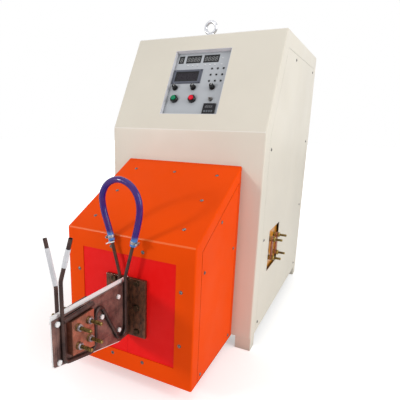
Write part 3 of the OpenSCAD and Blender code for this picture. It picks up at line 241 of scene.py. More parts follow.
def rectangle(w, h, radius=0.0):
    if not radius:
        return [(-w / 2, -h / 2), (w / 2, -h / 2), (w / 2, h / 2), (-w / 2, h / 2)]
    outline = []
    for quarter, (sx, sy) in enumerate(((1, -1), (1, 1), (-1, 1), (-1, -1))):
        for i in range(CORNER_STEPS + 1):
            a = math.radians(quarter * 90 - 90 + 90 * i / CORNER_STEPS)
            cx = sx * (w / 2 - radius)
            cy = sy * (h / 2 - radius)
            outline.append((cx + radius * math.cos(a), cy + radius * math.sin(a)))
    return outline


def plate(bm, w, h, t, place, radius=0.0, low=0.0, edge=0.0):
    verts = prism(bm, rectangle(w, h, radius), t, place, low)
    if edge:
        soften(bm, verts, edge * MM)


def hex_piece(bm, across, height, place, low=0.0, sides=36, both=True):
    """A nut or a head: a hexagon whose corners are turned off at its ends."""
    chamfer = across * CHAMFER_SHARE
    corner = across / math.sqrt(3)
    rings = []
    levels = [(low, 0.0), (low + chamfer, 1.0), (low + height - chamfer, 1.0), (low + height, 0.0)]
    if not both:
        levels[0] = (low, 1.0)
    for z, full in levels:
        ring = []
        for i in range(sides):
            a = 2 * math.pi * i / sides
            within = (a % (math.pi / 3)) - math.pi / 6
            flat = across / 2 / math.cos(within)
            limit = corner if full else across / 2 * END_SHARE
            ring.append(bm.verts.new(place @ polar(min(flat, limit), a, z)))
        rings.append(ring)
    for lower, upper in zip(rings, rings[1:]):
        band(bm, lower, upper)
    bm.faces.new(rings[0][::-1])
    bm.faces.new(rings[-1])


def threaded_rod(bm, d, pitch, length, place, sides=20):
    """A rod with a helical thread, a plain core end and a chamfered tip."""
    crest = d / 2
    core = crest - pitch * THREAD_SHARE
    steps = int(length / pitch * sides)
    rows = []
    for rise, r in ((0.0, crest), (0.25, crest), (0.5, core), (0.75, core)):
        row = []
        for i in range(steps + 1):
            z = (i / sides + rise) * pitch
            fade = min(1.0, max(RUN_OUT, (length - z) / (1.2 * pitch) + RUN_OUT))
            radius = core + (r - core) * fade if z < length else core
            row.append(bm.verts.new(place @ polar(radius, 2 * math.pi * i / sides, min(z, length))))
        rows.append(row)
    for i in range(steps):
        for k in range(3):
            bm.faces.new([rows[k][i], rows[k][i + 1], rows[k + 1][i + 1], rows[k + 1][i]])
        if i + sides < steps:
            bm.faces.new([rows[3][i], rows[3][i + 1], rows[0][i + 1 + sides], rows[0][i + sides]])
    tip = length + TIP_H
    turned(bm, [(core, 0), (core, length), (core - TIP_IN, tip), (0, tip)], place, sides)


def washer(bm, bore, outer, t, place):
    r = outer / 2
    edge = t / 4
    profile = [(bore / 2, 0), (r - edge, 0), (r, edge), (r, t - edge), (r - edge, t), (bore / 2, t)]
    closed_ring(bm, profile, place, 36)


def islands(node):
    """The separate solids of a CAD node, each as a list of its points."""
    bm = bmesh.new()
    bm.from_mesh(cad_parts[node].data)
    bmesh.ops.remove_doubles(bm, verts=bm.verts, dist=1e-6)
    left = set(bm.verts)
    found = []
    while left:
        front = [left.pop()]
        group = []
        while front:
            v = front.pop()
            group.append(v.co.copy())
            for e in v.link_edges:
                other = e.other_vert(v)
                if other in left:
                    left.remove(other)
                    front.append(other)
        found.append(group)
    bm.free()
    found.sort(key=lambda g: tuple(round(c, 4) for c in sum(g, Vector()) / len(g)))
    return found


def helper(bm):
    bmesh.ops.recalc_face_normals(bm, faces=bm.faces)
    return linked("helper", mesh_of("helper", bm))


def cut(bm, tools):
    """The shape without its tools."""
    base = helper(bm)
    others = [helper(tool) for tool in tools]
    for other in others:
        boolean = base.modifiers.new("cut", "BOOLEAN")
        boolean.operation = "DIFFERENCE"
        boolean.object = other
        boolean.solver = "EXACT"
    result = bmesh.new()
    result.from_object(base, bpy.context.evaluated_depsgraph_get())
    for obj in [base] + others:
        bpy.data.objects.remove(obj)
    return result


def inset(outline, margins):
    """The outline with each of its lines moved inwards by its margin."""
    lines = []
    n = len(outline)
    for i in range(n):
        p = Vector(outline[i])
        q = Vector(outline[(i + 1) % n])
        d = (q - p).normalized()
        lines.append((p + Vector((-d.y, d.x)) * margins[i], d))
    corners = []
    for i in range(n):
        p, d = lines[i - 1]
        q, e = lines[i]
        gap = q - p
        t = (gap.x * e.y - gap.y * e.x) / (d.x * e.y - d.y * e.x)
        corners.append(tuple(p + d * t))
    return corners


# Side views, as in the CAD: bottom, back, top (cabinet only), slope, front
SQUARE_LINES = (0, 1)
CABINET_OUTLINE = [
    (0, CABINET_LOW), (CABINET_D, CABINET_LOW), (CABINET_D, CABINET_H), (SLOPE_RUN, CABINET_H), (0, FOLD_H)
]
STATION_OUTLINE = [
    (-STATION_D, STATION_LOW), (0, STATION_LOW), (0, STATION_REAR_H), (-STATION_D, STATION_FRONT_H)
]


def side_prism(outline, x, width):
    """An outline in the YZ plane, drawn out along X, in metres in the scene."""
    bm = bmesh.new()
    n = len(outline)
    points = [(x, y, z) for y, z in outline] + [(x + width, y, z) for y, z in outline]
    faces = [list(range(n)), list(range(n, 2 * n))[::-1]]
    faces += [[i, n + i, n + (i + 1) % n, (i + 1) % n] for i in range(n)]
    add_faces(bm, points, faces, placed(0, 0, 0))
    bmesh.ops.recalc_face_normals(bm, faces=bm.faces)
    return bm


def bent_block(outline, width, radius):
    """A closed block with rounded bends; the bottom and the back stay sharp."""
    bm = side_prism(outline, -width / 2, width)
    n = len(outline)
    bm.verts.ensure_lookup_table()
    chosen = []
    for edge in bm.edges:
        a, b = sorted(v.index for v in edge.verts)
        same_side = (a < n) == (b < n)
        if same_side:
            first, second = a % n, b % n
            index = second if {first, second} == {0, n - 1} else first
            if index not in SQUARE_LINES:
                chosen.append(edge)
        elif (a % n) not in SQUARE_LINES and ((a - 1) % n) not in SQUARE_LINES:
            chosen.append(edge)
    rounded(bm, chosen, radius * MM, 5)
    return bm


def box_tool(low, high, matrix=None):
    bm = bmesh.new()
    size = [h - l for l, h in zip(low, high)]
    centre = [(l + h) / 2 for l, h in zip(low, high)]
    own = Matrix.Translation(centre) @ Matrix.Diagonal(size + [1])
    bmesh.ops.create_cube(bm, size=1.0, matrix=(matrix or placed(0, 0, 0)) @ own)
    return bm


# Finishes

HOSE_END_ZS = (0.507, 0.497)


def new_material(name):
    material = bpy.data.materials.new(name)
    material.use_nodes = True
    tree = material.node_tree
    tree.nodes.clear()
    shader = add_node(tree, "BsdfPrincipled", {})
    add_node(tree, "OutputMaterial", {0: shader.outputs[0]})
    return material, shader, add_node(tree, "TexCoord", {}).outputs["Object"]


def feed(node, inputs):
    """Sets each input, or links it to another node's output."""
    for socket, value in inputs.items():
        if isinstance(value, bpy.types.NodeSocket):
            node.id_data.links.new(value, node.inputs[socket])
        else:
            node.inputs[socket].default_value = value


def add_node(owner, kind, inputs):
    """A new node in owner's tree."""
    node = owner.id_data.nodes.new("ShaderNode" + kind)
    feed(node, inputs)
    return node


def linear(rgb):
    """An 8-bit screen colour as the renderer's own values."""
    values = []
    for c in rgb:
        s = c / 255
        values.append(s / 12.92 if s <= 0.04045 else ((s + 0.055) / 1.055) ** 2.4)
    return (*values, 1.0)


def stretched(coords, scale):
    return add_node(coords, "Mapping", {"Vector": coords, "Scale": scale}).outputs[0]


def noise(coords, scale, detail, rough=0.5):
    inputs = {"Vector": coords, "Scale": scale, "Detail": detail, "Roughness": rough}
    return add_node(coords, "TexNoise", inputs).outputs["Fac"]


def ramp(value, stops):
    node = add_node(value, "ValToRGB", {0: value})
    elements = node.color_ramp.elements
    while len(elements) < len(stops):
        elements.new(0.5)
    for element, (place, colour) in zip(elements, stops):
        element.position = place
        element.color = colour
    return node.outputs[0]


def spread(value, low, high, start=0.3, end=0.7):
    inputs = {"Value": value, "From Min": start, "From Max": end, "To Min": low, "To Max": high}
    return add_node(value, "MapRange", inputs).outputs[0]


def blend(factor, first, second, kind="MIX"):
    node = add_node(first, "Mix", {})
    node.data_type = "RGBA"
    node.blend_type = kind
    feed(node, {0: factor, 6: first, 7: second})
    return node.outputs[2]


def relief(shader, height, distance):
    node = add_node(shader, "Bump", {"Height": height, "Strength": 1.0, "Distance": distance})
    feed(shader, {"Normal": node.outputs[0]})


def tone_with_painted_shade(shader, tone, distance, low):
    """Gives the tone with painted shade: darker where surfaces meet, from an ambient occlusion node."""
    # Painted shade: the ambient occlusion darkens the colour where surfaces meet.
    node = add_node(shader, "AmbientOcclusion", {"Distance": distance})
    node.samples = 6
    corners = spread(node.outputs["AO"], low, 1.0, 0.35, 0.95)
    feed(shader, {"Base Color": blend(1.0, tone, corners, "MULTIPLY")})


def roughened(shader, value, low, high):
    feed(shader, {"Roughness": spread(value, low, high)})


def clouded(value, colour, drift, start, end, lift=0.0):
    """A colour that drifts a little darker and lighter with a value."""
    base = linear(colour)[:3]
    darker = tuple(c * (1 - drift) for c in base) + (1.0,)
    lighter = tuple(min(1.0, c * (1 + drift) + lift) for c in base) + (1.0,)
    return ramp(value, [(start, darker), (end, lighter)])


def paint(name, colour, peel=6e-5, rough=0.42, coat=0.25, drift=0.05, shine=0.5):
    """Powder coat: an orange-peel surface with faint clouds of tone and painted shade in its corners."""
    material, shader, coords = new_material(name)
    tone = clouded(noise(coords, 3.2, 4), colour, drift, 0.35, 0.65)
    tone_with_painted_shade(shader, tone, 0.03, 0.72)
    roughened(shader, noise(coords, 9, 5), rough - 0.06, rough + 0.08)
    relief(shader, noise(coords, 520, 2), peel)
    feed(shader, {"Specular IOR Level": shine, "Coat Weight": coat, "Coat Roughness": 0.25})
    return material


def moulded(name, colour, rough=0.4, grain=900, depth=2e-5, coat=0.0, drift=0.12, shine=0.5, shade=0.6):
    """Moulded plastic with a fine grain."""
    material, shader, coords = new_material(name)
    tone = clouded(noise(coords, 45, 4), colour, drift, 0.3, 0.7, 0.004)
    tone_with_painted_shade(shader, tone, 0.004, shade)
    roughened(shader, noise(coords, 120, 3), rough - 0.08, rough + 0.1)
    relief(shader, noise(coords, grain, 2), depth)
    feed(shader, {"Specular IOR Level": shine, "Coat Weight": coat, "Coat Roughness": 0.12})
    return material


def metal(name, bright, dark, rough=0.3, patches=60, level=(0.35, 0.65)):
    """Bare metal with a fine grain and stains that are rougher than the rest."""
    material, shader, coords = new_material(name)
    stains = noise(coords, patches, 6, 0.62)
    tone = ramp(stains, [(level[0], linear(dark)), (level[1], linear(bright))])
    tone_with_painted_shade(shader, tone, 0.006, 0.45)
    roughened(shader, stains, rough + 0.22, rough - 0.04)
    relief(shader, noise(coords, 900, 3), 2e-5)
    feed(shader, {"Metallic": 1.0})
    return material


def axis_mask(coords, axis, start, end):
    """From 0 to 1 along an axis of the scene, between two places in metres."""
    parts = add_node(coords, "SeparateXYZ", {0: coords})
    return spread(parts.outputs[axis], 0.0, 1.0, start, end)


def heat_stained_copper(name, tone_share=1.0):
    """Dark copper with violet and salmon patches and scratches, and brown oxide on the flanges."""
    material, shader, coords = new_material(name)
    broad = noise(coords, 26, 6, 0.6)
    stains = [
        (0.30, (84, 62, 60)), (0.48, (128, 98, 92)), (0.60, (152, 118, 110)), (0.74, (178, 136, 120))
    ]
    tone = ramp(broad, [(place, linear([c * tone_share for c in rgb])) for place, rgb in stains])
    fine = noise(coords, 260, 5, 0.7)
    specks = ramp(fine, [(0.38, linear((60, 44, 42))), (0.52, linear((190, 160, 150)))])
    shade = blend(0.28, tone, specks, "OVERLAY")
    flange_y = FACE_Y - (STATION_D - SHEET + FLANGE_T) * MM
    near = axis_mask(coords, "Y", flange_y - 0.02, flange_y + 0.001)
    rust = noise(stretched(coords, (1, 1, 0.5)), 110, 5, 0.8)
    oxide = ramp(rust, [(0.36, linear((46, 26, 20))), (0.62, linear((132, 86, 60)))])
    tone_with_painted_shade(shader, blend(near, shade, oxide), 0.01, 0.45)
    roughened(shader, broad, 0.38, 0.62)
    relief(shader, noise(stretched(coords, (1, 0.12, 1)), 420, 4), 6e-5)
    feed(shader, {"Metallic": 0.55, "Coat Weight": 0.1})
    return material


def hose_finish(name):
    """Violet hose: glossy, with a blue sheen at its edges, and bluer at its clamped ends."""
    material, shader, coords = new_material(name)
    streak = noise(coords, 24, 3)
    tone = ramp(streak, [(0.35, linear((40, 12, 130))), (0.65, linear((76, 12, 116)))])
    ends = axis_mask(coords, "Z", *HOSE_END_ZS)
    feed(shader, {"Base Color": blend(ends, tone, linear((74, 142, 222)))})
    relief(shader, noise(coords, 160, 2), 8e-5)
    roughened(shader, streak, 0.12, 0.24)
    feed(shader, {
        "Transmission Weight": 0.1, "Specular IOR Level": 0.3, "Coat Weight": 0.35, "Coat Roughness": 0.03,
        "Sheen Weight": 0.2, "Sheen Roughness": 0.25, "Sheen Tint": linear((60, 130, 240))
    })
    return material


def laminate(name):
    """Varnished terminal board: amber with fine paper fibres."""
    material, shader, coords = new_material(name)
    fibres = noise(stretched(coords, (1, 1, 0.15)), 180, 5, 0.6)
    tone = ramp(fibres, [(0.3, linear((206, 122, 22))), (0.7, linear((244, 172, 44)))])
    tone_with_painted_shade(shader, tone, 0.02, 0.55)
    roughened(shader, fibres, 0.28, 0.42)
    relief(shader, fibres, 3e-5)
    feed(shader, {"Coat Weight": 0.5})
    return material


FINISH = {
    "cream": paint("cream_paint", (232, 225, 210), coat=0.1, drift=0.025),
    "orange": paint("orange_paint", (253, 80, 3), rough=0.5, coat=0.0, shine=0.06),
    # A lighter, glossier copy of the orange paint for the middle of the bends: a painted highlight.
    "orange_bend": paint("orange_bend", (255, 106, 34), rough=0.35, coat=0.1, shine=0.4),
    # A dark copy of the orange paint for the lips behind the seams: painted shade in the gaps.
    "orange_painted_shade": paint("orange_painted_shade", (44, 14, 6), rough=0.6, coat=0.0, shine=0.06),
    # A lighter, glossier copy of the cream paint for the middle of the bends: a painted highlight.
    "cream_bend": paint("cream_bend", (246, 241, 232), rough=0.35, coat=0.2, drift=0.02),
    "red_board": moulded("red_board", (255, 16, 14), grain=260, drift=0.02, shine=0.16, shade=0.9),
    "zinc": metal("zinc_steel", (205, 205, 208), (140, 140, 146), patches=160),
    "dull_steel": metal("dull_steel", (168, 166, 164), (84, 82, 82), patches=220),
    "chrome": metal("bright_steel", (232, 232, 236), (176, 178, 184), rough=0.14, patches=120),
    "tray": moulded("tray_metal", (226, 226, 230), rough=0.36, grain=300, drift=0.05, shine=0.6, shade=0.9),
    "panel": paint("panel_print", (192, 196, 201), peel=2e-5, rough=0.45, coat=0.0, drift=0.03, shine=0.3),
    "black": moulded("black_plastic", (26, 26, 28), rough=0.38, shine=0.25),
    "black_gloss": moulded("black_gloss", (14, 14, 16), rough=0.16, coat=0.15, shine=0.3),
    "bezel": moulded("screen_bezel", (84, 88, 102), rough=0.35),
    "screen": moulded("screen_dark", (32, 27, 36), rough=0.3, depth=2e-6, shine=0.25),
    "lens": moulded("display_lens", (34, 34, 36), rough=0.35, depth=4e-6, shine=0.25),
    "segment": moulded("unlit_segment", (150, 152, 152), rough=0.5, depth=4e-6, shine=0.25),
    "lamp": moulded("lamp_lens", (238, 238, 240), rough=0.25, coat=0.4, depth=1e-5),
    "green": moulded("green_cap", (8, 140, 96), rough=0.24, coat=0.08, depth=1e-5, shine=0.25),
    "red": moulded("red_cap", (232, 10, 48), rough=0.24, coat=0.08, depth=1e-5, shine=0.25),
    "white": moulded("white_plastic", (252, 252, 252), rough=0.45, drift=0.01, shade=0.8),
    "tape": moulded("white_tape", (226, 226, 230), rough=0.6, grain=400, depth=5e-5, drift=0.05),
    "mark": moulded("printed_mark", (66, 66, 74), rough=0.5),
    "board_green": moulded("circuit_board", (26, 96, 52), rough=0.35, coat=0.3),
    "copper": metal(
        "salmon_copper", (205, 140, 116), (140, 88, 72), rough=0.36, patches=46, level=(0.3, 0.6)
    ),
    "copper_dark": heat_stained_copper("copper_dark"),
    # The tubes' copper is darker than the plates': partly the tubes' own colour and partly painted shade.
    "copper_tube": heat_stained_copper("copper_tube", 0.6),
    "brass": metal("brass", (214, 186, 112), (140, 112, 58), rough=0.26, patches=140),
    "old_brass": metal("old_brass", (186, 160, 98), (104, 82, 52), rough=0.32, patches=120),
    "core": moulded("core_grey", (70, 70, 74), rough=0.6),
    "can": metal("capacitor_case", (190, 194, 200), (150, 154, 160), patches=30),
    "laminate": laminate("board_yellow"),
    "hose": hose_finish("hose_rubber"),
    "oiled": metal("oiled_steel", (104, 84, 66), (58, 46, 34), rough=0.42, patches=110),
    "timer_key": moulded("timer_key", (96, 100, 108), rough=0.5),
    "primer": paint("frame_paint", (150, 150, 146), rough=0.6, coat=0.0),
}


def dress(node, finish, edge):
    """Gives a CAD node its finish, welds its faces and rounds its sharp edges by edge millimetres."""
    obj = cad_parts[node]
    obj.data.materials.clear()
    obj.data.materials.append(FINISH[finish])
    weld = obj.modifiers.new("weld", "WELD")
    weld.merge_threshold = 1e-6
    if edge:
        bevel = obj.modifiers.new("edges", "BEVEL")
        bevel.width = edge * MM
        bevel.segments = 2
        bevel.limit_method = "ANGLE"
        bevel.angle_limit = EDGE_ANGLE
        bevel.use_clamp_overlap = True
    even = obj.modifiers.new("even_faces", "WEIGHTED_NORMAL")
    even.keep_sharp = True


# Of each group of CAD nodes: its finish, the rounding of its edges and its names
CAD_FINISHES = (
    ("cream", 0.8, "cabinet_base"), ("primer", 0, "cabinet_frame"), ("chrome", 0, "eye_bolts"),
    ("cream", 0, "right_side_panel", "left_side_panel", "rear_panel"),
    ("tray", 0.3, "panel_tray"), ("panel", 0, "panel_plate"), ("lens", 0.3, "display_modules"),
    ("bezel", 0.6, "screen_bezel"), ("screen", 0.2, "screen_glass"), ("lamp", 0.3, "indicator_lamps"),
    ("board_green", 0, "control_board"), ("zinc", 0.1, "potentiometers"),
    ("black_gloss", 0.4, "push_button_bodies"), ("dull_steel", 0.2, "toggle_switch"),
    ("black", 0.5, "panel_timer", "cable_gland"), ("laminate", 0.5, "terminal_board"),
    ("copper", 0.6, "terminal_links"), ("orange", 0, "station_right_panel", "station_left_panel"),
    ("red_board", 0.4, "insulating_panel_left", "insulating_panel_right"),
    ("copper_dark", 0.7, "left_output_plate", "right_output_plate"), ("white", 0.5, "spacer_sheet"),
    ("copper", 1.0, "clamp_blocks", "transformer_winding"), ("white", 0.8, "nylon_bolts"),
    ("copper_tube", 0, "left_cooling_tube", "right_cooling_tube"), ("core", 0.5, "transformer_core"),
    ("can", 1.0, "tank_capacitors"), ("black", 1.0, "power_modules"), ("brass", 0.2, "water_manifold"),
    ("green", 0.5, "green_button"), ("red", 0.5, "red_button"), ("dull_steel", 0, "toggle_lever"),
    ("black_gloss", 0.2, "knob_left", "knob_middle", "knob_right")
)
for finish, edge, *nodes in CAD_FINISHES:
    for node in nodes:
        dress(node, finish, edge)
for number in range(1, 10):
    dress(f"key_{number}", "black_gloss", 0.2)

# The hose loop and the camera come first

HOSE_D = 0.019
HOSE_Y_LEFT = -0.381
HOSE_Y_RIGHT = -0.396
HOSE_ROUTE = [
    (-0.0418, 0.478), (-0.0495, 0.507), (-0.0585, 0.536), (-0.066, 0.561), (-0.0705, 0.586),
    (-0.071, 0.608), (-0.0635, 0.630), (-0.050, 0.647), (-0.032, 0.658), (-0.011, 0.663),
    (0.0095, 0.660), (0.029, 0.651), (0.045, 0.636), (0.0565, 0.616), (0.062, 0.591),
    (0.0615, 0.565), (0.0565, 0.5365), (0.0495, 0.507), (0.0418, 0.478)
]


def make_hose():
    points = []
    for i, (x, z) in enumerate(HOSE_ROUTE):
        share = max(0.0, min(1.0, (i - 1) / (len(HOSE_ROUTE) - 3)))
        y = HOSE_Y_LEFT + (HOSE_Y_RIGHT - HOSE_Y_LEFT) * share
        points.append(Vector((CENTRE_X + x, FACE_Y + y, z)))
    data = bpy.data.curves.new("hose_loop", "CURVE")
    data.dimensions = "3D"
    data.bevel_depth = HOSE_D / 2
    data.bevel_resolution = 8
    data.resolution_u = 8
    data.use_fill_caps = True
    knots = data.splines.new("BEZIER").bezier_points
    knots.add(len(points) - 1)
    for knot, place in zip(knots, points):
        knot.co = place
        knot.handle_left_type = "AUTO"
        knot.handle_right_type = "AUTO"
    data.materials.append(FINISH["hose"])
    hose = linked("hose_loop", data)
    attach(hose, "machine")
    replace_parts(hose, "jumper_hose")


make_hose()

IMAGE_SIDE = 400
FOCAL_PX = 387.91
AXIS_PX = (165.0, 214.53)
CAMERA_PLACE = (609.8, -1282.4, 828.4)
YAW = math.radians(27.773)
PITCH = math.radians(13.739)
ROLL = math.radians(1.125)


def make_camera():
    data = bpy.data.cameras.new("camera")
    data.sensor_width = 36
    data.lens = FOCAL_PX / IMAGE_SIDE * data.sensor_width
    data.shift_x = 0.5 - AXIS_PX[0] / IMAGE_SIDE
    data.shift_y = AXIS_PX[1] / IMAGE_SIDE - 0.5
    flat = math.cos(PITCH)
    forward = Vector((-math.sin(YAW) * flat, math.cos(YAW) * flat, -math.sin(PITCH)))
    level = Vector((math.cos(YAW), math.sin(YAW), 0))
    above = level.cross(forward)
    right = level * math.cos(ROLL) + above * math.sin(ROLL)
    up = above * math.cos(ROLL) - level * math.sin(ROLL)
    turn = Matrix((right, up, -forward)).transposed().to_4x4()
    camera = linked("camera", data)
    camera.matrix_world = Matrix.Translation(at(*CAMERA_PLACE)) @ turn
    bpy.context.scene.camera = camera


make_camera()

# Sheet metal with rounded bends

BEND_LIMIT = 0.975
SIDE_LIMIT = 0.2
PASSAGE_LOW = (-130, -10, 240)
PASSAGE_HIGH = (130, 10, 460)


def folded(name, shape, tone, outline):
    """Shows a folded sheet; the middle of its bends is glossier and painted lighter, a painted highlight."""
    piece = show(name, shape, tone, sharp=20)
    flats = [X_AXIS, Z_AXIS, Y_AXIS]
    for (y, z), (ny, nz) in zip(outline, outline[1:] + outline[:1]):
        flats.append(Vector((0, z - nz, ny - y)).normalized())
    piece.data.materials.append(FINISH[tone + "_bend"])
    for face in piece.data.polygons:
        steep = max(abs(face.normal.dot(flat)) for flat in flats)
        # The bend faces get the lighter finish: a painted highlight along each bend.
        if steep < BEND_LIMIT and abs(face.normal.x) < SIDE_LIMIT:
            face.material_index = 1
    return piece


def cabinet_skin():
    outer = bent_block(CABINET_OUTLINE, CABINET_W, BEND_R)
    reach = [-RETURN_W, -RETURN_W, SHEET, SHEET, SHEET]
    inner = bent_block(inset(CABINET_OUTLINE, reach), CABINET_W - 2 * SHEET, BEND_R - SHEET)
    sides = side_prism(inset(CABINET_OUTLINE, [-RETURN_W] + [RETURN_W] * 4), -CABINET_W, 2 * CABINET_W)
    hole_w = PANEL_W + 2 * TRAY_T
    hole_l = PANEL_L + 2 * TRAY_T
    recess = box_tool(
        (-hole_w / 2, -TRAY_T, -PANEL_DEPTH), (hole_w / 2, hole_l - TRAY_T, 3 * PANEL_DEPTH), on_panel(0, 0)
    )
    shape = cut(outer, [inner, sides, recess, box_tool(PASSAGE_LOW, PASSAGE_HIGH)])
    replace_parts(folded("cabinet_sheet", shape, "cream", CABINET_OUTLINE), "cabinet_shell")


def joined(bm, other):
    """Adds the other shape's faces to the first."""
    mesh = mesh_of("joined", other)
    bm.from_mesh(mesh)
    bpy.data.meshes.remove(mesh)


def copies(bm, prototype, places):
    """Adds one copy of a shape, drawn in millimetres, at each place."""
    mesh = mesh_of("prototype", prototype)
    for place in places:
        first = len(bm.verts)
        bm.from_mesh(mesh)
        bm.verts.ensure_lookup_table()
        bmesh.ops.transform(bm, matrix=place, verts=bm.verts[first:])
    bpy.data.meshes.remove(mesh)


def beyond_slope(above):
    """A block on one side of the seam under the station's sloping cover."""
    high, low = [Vector(corner) for corner in inset(STATION_OUTLINE, [0, 0, SHEET, 0])[2:]]
    run = (high - low).normalized() * RETURN_W
    far = 3 * STATION_D if above else -STATION_D
    start = low - run
    end = high + run
    outline = [start, end, (end.x, far), (start.x, far)]
    return side_prism(outline, -STATION_W, 2 * STATION_W)


def station_skins():
    body = bent_block(STATION_OUTLINE, STATION_W, BEND_R - 1)
    cover = bent_block(STATION_OUTLINE, STATION_W, BEND_R - 1)
    within = inset(STATION_OUTLINE, [SHEET, SHEET, -RETURN_W, SHEET])
    hollow = side_prism(within, SHEET - STATION_W / 2, STATION_W - 2 * SHEET)
    opening = [margin - SEAM_MORE for margin in STATION_MARGINS]
    sides = side_prism(inset(STATION_OUTLINE, opening), -STATION_W, 2 * STATION_W)
    window = box_tool(
        (-WINDOW / 2, -STATION_D - RETURN_W, WINDOW_MID_Z - WINDOW / 2),
        (WINDOW / 2, RETURN_W - STATION_D, WINDOW_MID_Z + WINDOW / 2)
    )
    rear = STATION_W / 2 - REAR_RIM
    behind = box_tool((-rear, -REAR_RIM, STATION_LOW + REAR_RIM), (rear, REAR_RIM, 2 * STATION_D))
    shell = cut(body, [hollow, sides, beyond_slope(True), window, behind])
    lip_outer = [SHEET, SHEET] + [margin - LIP_LAP for margin in STATION_MARGINS[2:]]
    lip_inner = [LIP_W] + [margin + LIP_W for margin in STATION_MARGINS[1:]]
    lips = bmesh.new()
    for x in (-STATION_W / 2 + SHEET, STATION_W / 2 - 2 * SHEET):
        lip = side_prism(inset(STATION_OUTLINE, lip_outer), x, SHEET)
        joined(lips, cut(lip, [side_prism(inset(STATION_OUTLINE, lip_inner), x - SHEET, 3 * SHEET)]))
    # The lips behind the seams are painted dark: painted shade in the seams.
    show("station_lips", lips, "orange_painted_shade")
    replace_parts(folded("station_sheet", shell, "orange", STATION_OUTLINE), "station_shell")
    lid = cut(cover, [beyond_slope(False)])
    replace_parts(folded("station_slope_sheet", lid, "orange", STATION_OUTLINE), "station_slope_cover")


cabinet_skin()
station_skins()

# Fasteners; heads, shanks and bands are profiles of (radius, height)

LENGTH_SLACK = 0.5
LEVEL_SLACK = 0.1
PAN_HEAD = [(0, 0.7), (3.9, 0.7), (4.0, 0.9), (4.0, 1.5), (3.5, 2.3), (2.4, 2.8), (0, 2.95)]
SCREW_SHANK = [(0, -SCREW_LEN), (2.3, -SCREW_LEN), (2.45, 0.5 - SCREW_LEN), (2.45, 0.7), (0, 0.7)]
CROSS_REACH = 2.4
CROSS_HALF = 0.42
CROSS_LOW = 1.6
CROSS_HIGH = 4
M10_D = 9.9
M10_PITCH = 1.5
WASHER_BORE = 10.2
WASHER_T = 1.9
NUT_H = 7.8
TERMINAL_YS = (214, 292)
TERMINAL_ZS = (302.5, 378.5)
TERMINAL_START = 260.2
TERMINAL_LEN = 81.5
TERMINAL_WASHERS = (290, 306, 280)
TERMINAL_NUTS = (292.1, 308.1, 272.1)
FLANGE_XS = (-40, 40)
FLANGE_ZS = (194.5, 274.5, 354.5)
BOLT_HEAD = [(0, 5.6), (6.6, 5.6), (6.6, 6.0), (6.2, 6.35), (0, 6.35)]
BOLT_SHANK = [(0, 0), (4.9, 0), (4.9, -27.9), (0, -27.9)]
REAR_LEAN = 15
CLAMP_ALONG = 105
CLAMP_MID = 4.5
CLAMP_BAND = [(9.75, 0.2), (10.4, 0.2), (10.6, 0.6), (10.6, 8.4), (10.4, 8.8), (9.75, 8.8)]
BAND_SLOTS = 22
SLOT_FIRST = 50
SLOT_STEP = 12
SLOT_TILT = 12
SLOT_R = 10.62
WORM_SCREW = [(0, 0), (1.9, 0), (2.1, 0.3), (2.1, 17.6), (1.8, 18), (0, 18)]
TAPE_BORE = 5.12
TAPE_RS = (5.75, 6.05)
TAPE_WIDTHS = (5.5, 8.5)
TIE_ALONG = 91
TIE_MID = 1.9
TIE_BAND = [(5.2, 0), (6.6, 0), (7.0, 0.4), (7.0, 3.4), (6.6, 3.8), (5.2, 3.8)]
TIE_TAIL = [(-0.6, 0), (0.6, 0), (0.6, 13), (0, 14), (-0.6, 13)]
LEFT_STUB = (TUBE_X, DROP_Y + LEFT_BACK, 431)
RIGHT_STUB = (TUBE_X, DROP_Y, 456)
LEFT_LEAN = 13
RIGHT_LEAN = 18
LEFT_TAPE = (0, 96)
RIGHT_TAPE = (34, 84)


def rotated(degrees, axis):
    return Matrix.Rotation(math.radians(degrees), 4, axis)


def screw_place(group):
    """The seat of a cover screw, and the way it points, from the CAD screw's own points."""
    slope = Vector((0, -math.sin(STATION_TILT), math.cos(STATION_TILT)))
    length = (SCREW_LEN + SCREW_HEAD_H) * MM
    for axis in (X_AXIS, Y_AXIS, slope):
        reach = [p.dot(axis) for p in group]
        if abs(max(reach) - min(reach) - length) < LENGTH_SLACK * MM:
            middle = sum(group, Vector()) / len(group)
            ends = []
            for level in (min(reach), max(reach)):
                near = [p for p, r in zip(group, reach) if abs(r - level) < LEVEL_SLACK * MM]
                ends.append(max(((p - middle) - axis * (p - middle).dot(axis)).length for p in near))
            sign = 1 if ends[1] > ends[0] else -1
            level = max(reach) if sign > 0 else min(reach)
            seat = middle + axis * (level - middle.dot(axis)) - axis * sign * SCREW_HEAD_H * MM
            return seat, axis * sign


def cover_screws():
    """Pan-head cross screws on washers, at the CAD screws' places."""
    head = bmesh.new()
    own = Matrix.Identity(4)
    turned(head, PAN_HEAD, own, 24)
    arms = []
    for x, y in ((CROSS_REACH, CROSS_HALF), (CROSS_HALF, CROSS_REACH)):
        arms.append(box_tool((-x, -y, CROSS_LOW), (x, y, CROSS_HIGH), own))
    head = cut(head, arms)
    washer(head, 5.2, 11.4, 0.7, own)
    turned(head, SCREW_SHANK, own, 12)
    generator = random.Random(7)
    places = []
    for group in islands("panel_screws"):
        found = screw_place(group)
        if found:
            seat, axis = found
            spin = Z_AXIS.rotation_difference(axis).to_matrix().to_4x4()
            turn = Matrix.Rotation(generator.uniform(0, math.pi), 4, "Z")
            places.append(Matrix.Translation(seat) @ spin @ turn @ Matrix.Scale(MM, 4))
    bm = bmesh.new()
    copies(bm, head, places)
    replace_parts(show("cover_screws", bm, "dull_steel"), "panel_screws")


def lean_place(side, base, lean, along, turn=0.0):
    """On the straight part of a leaning tube end; base is where its bend starts."""
    x, y, z = base
    a = math.radians(lean)
    out = x + LEAN_R * (1 - math.cos(a)) + along * math.sin(a)
    up = z + LEAN_R * math.sin(a) + along * math.cos(a)
    return placed(side * out, y, up, (side * math.sin(a), 0, math.cos(a)), turn)


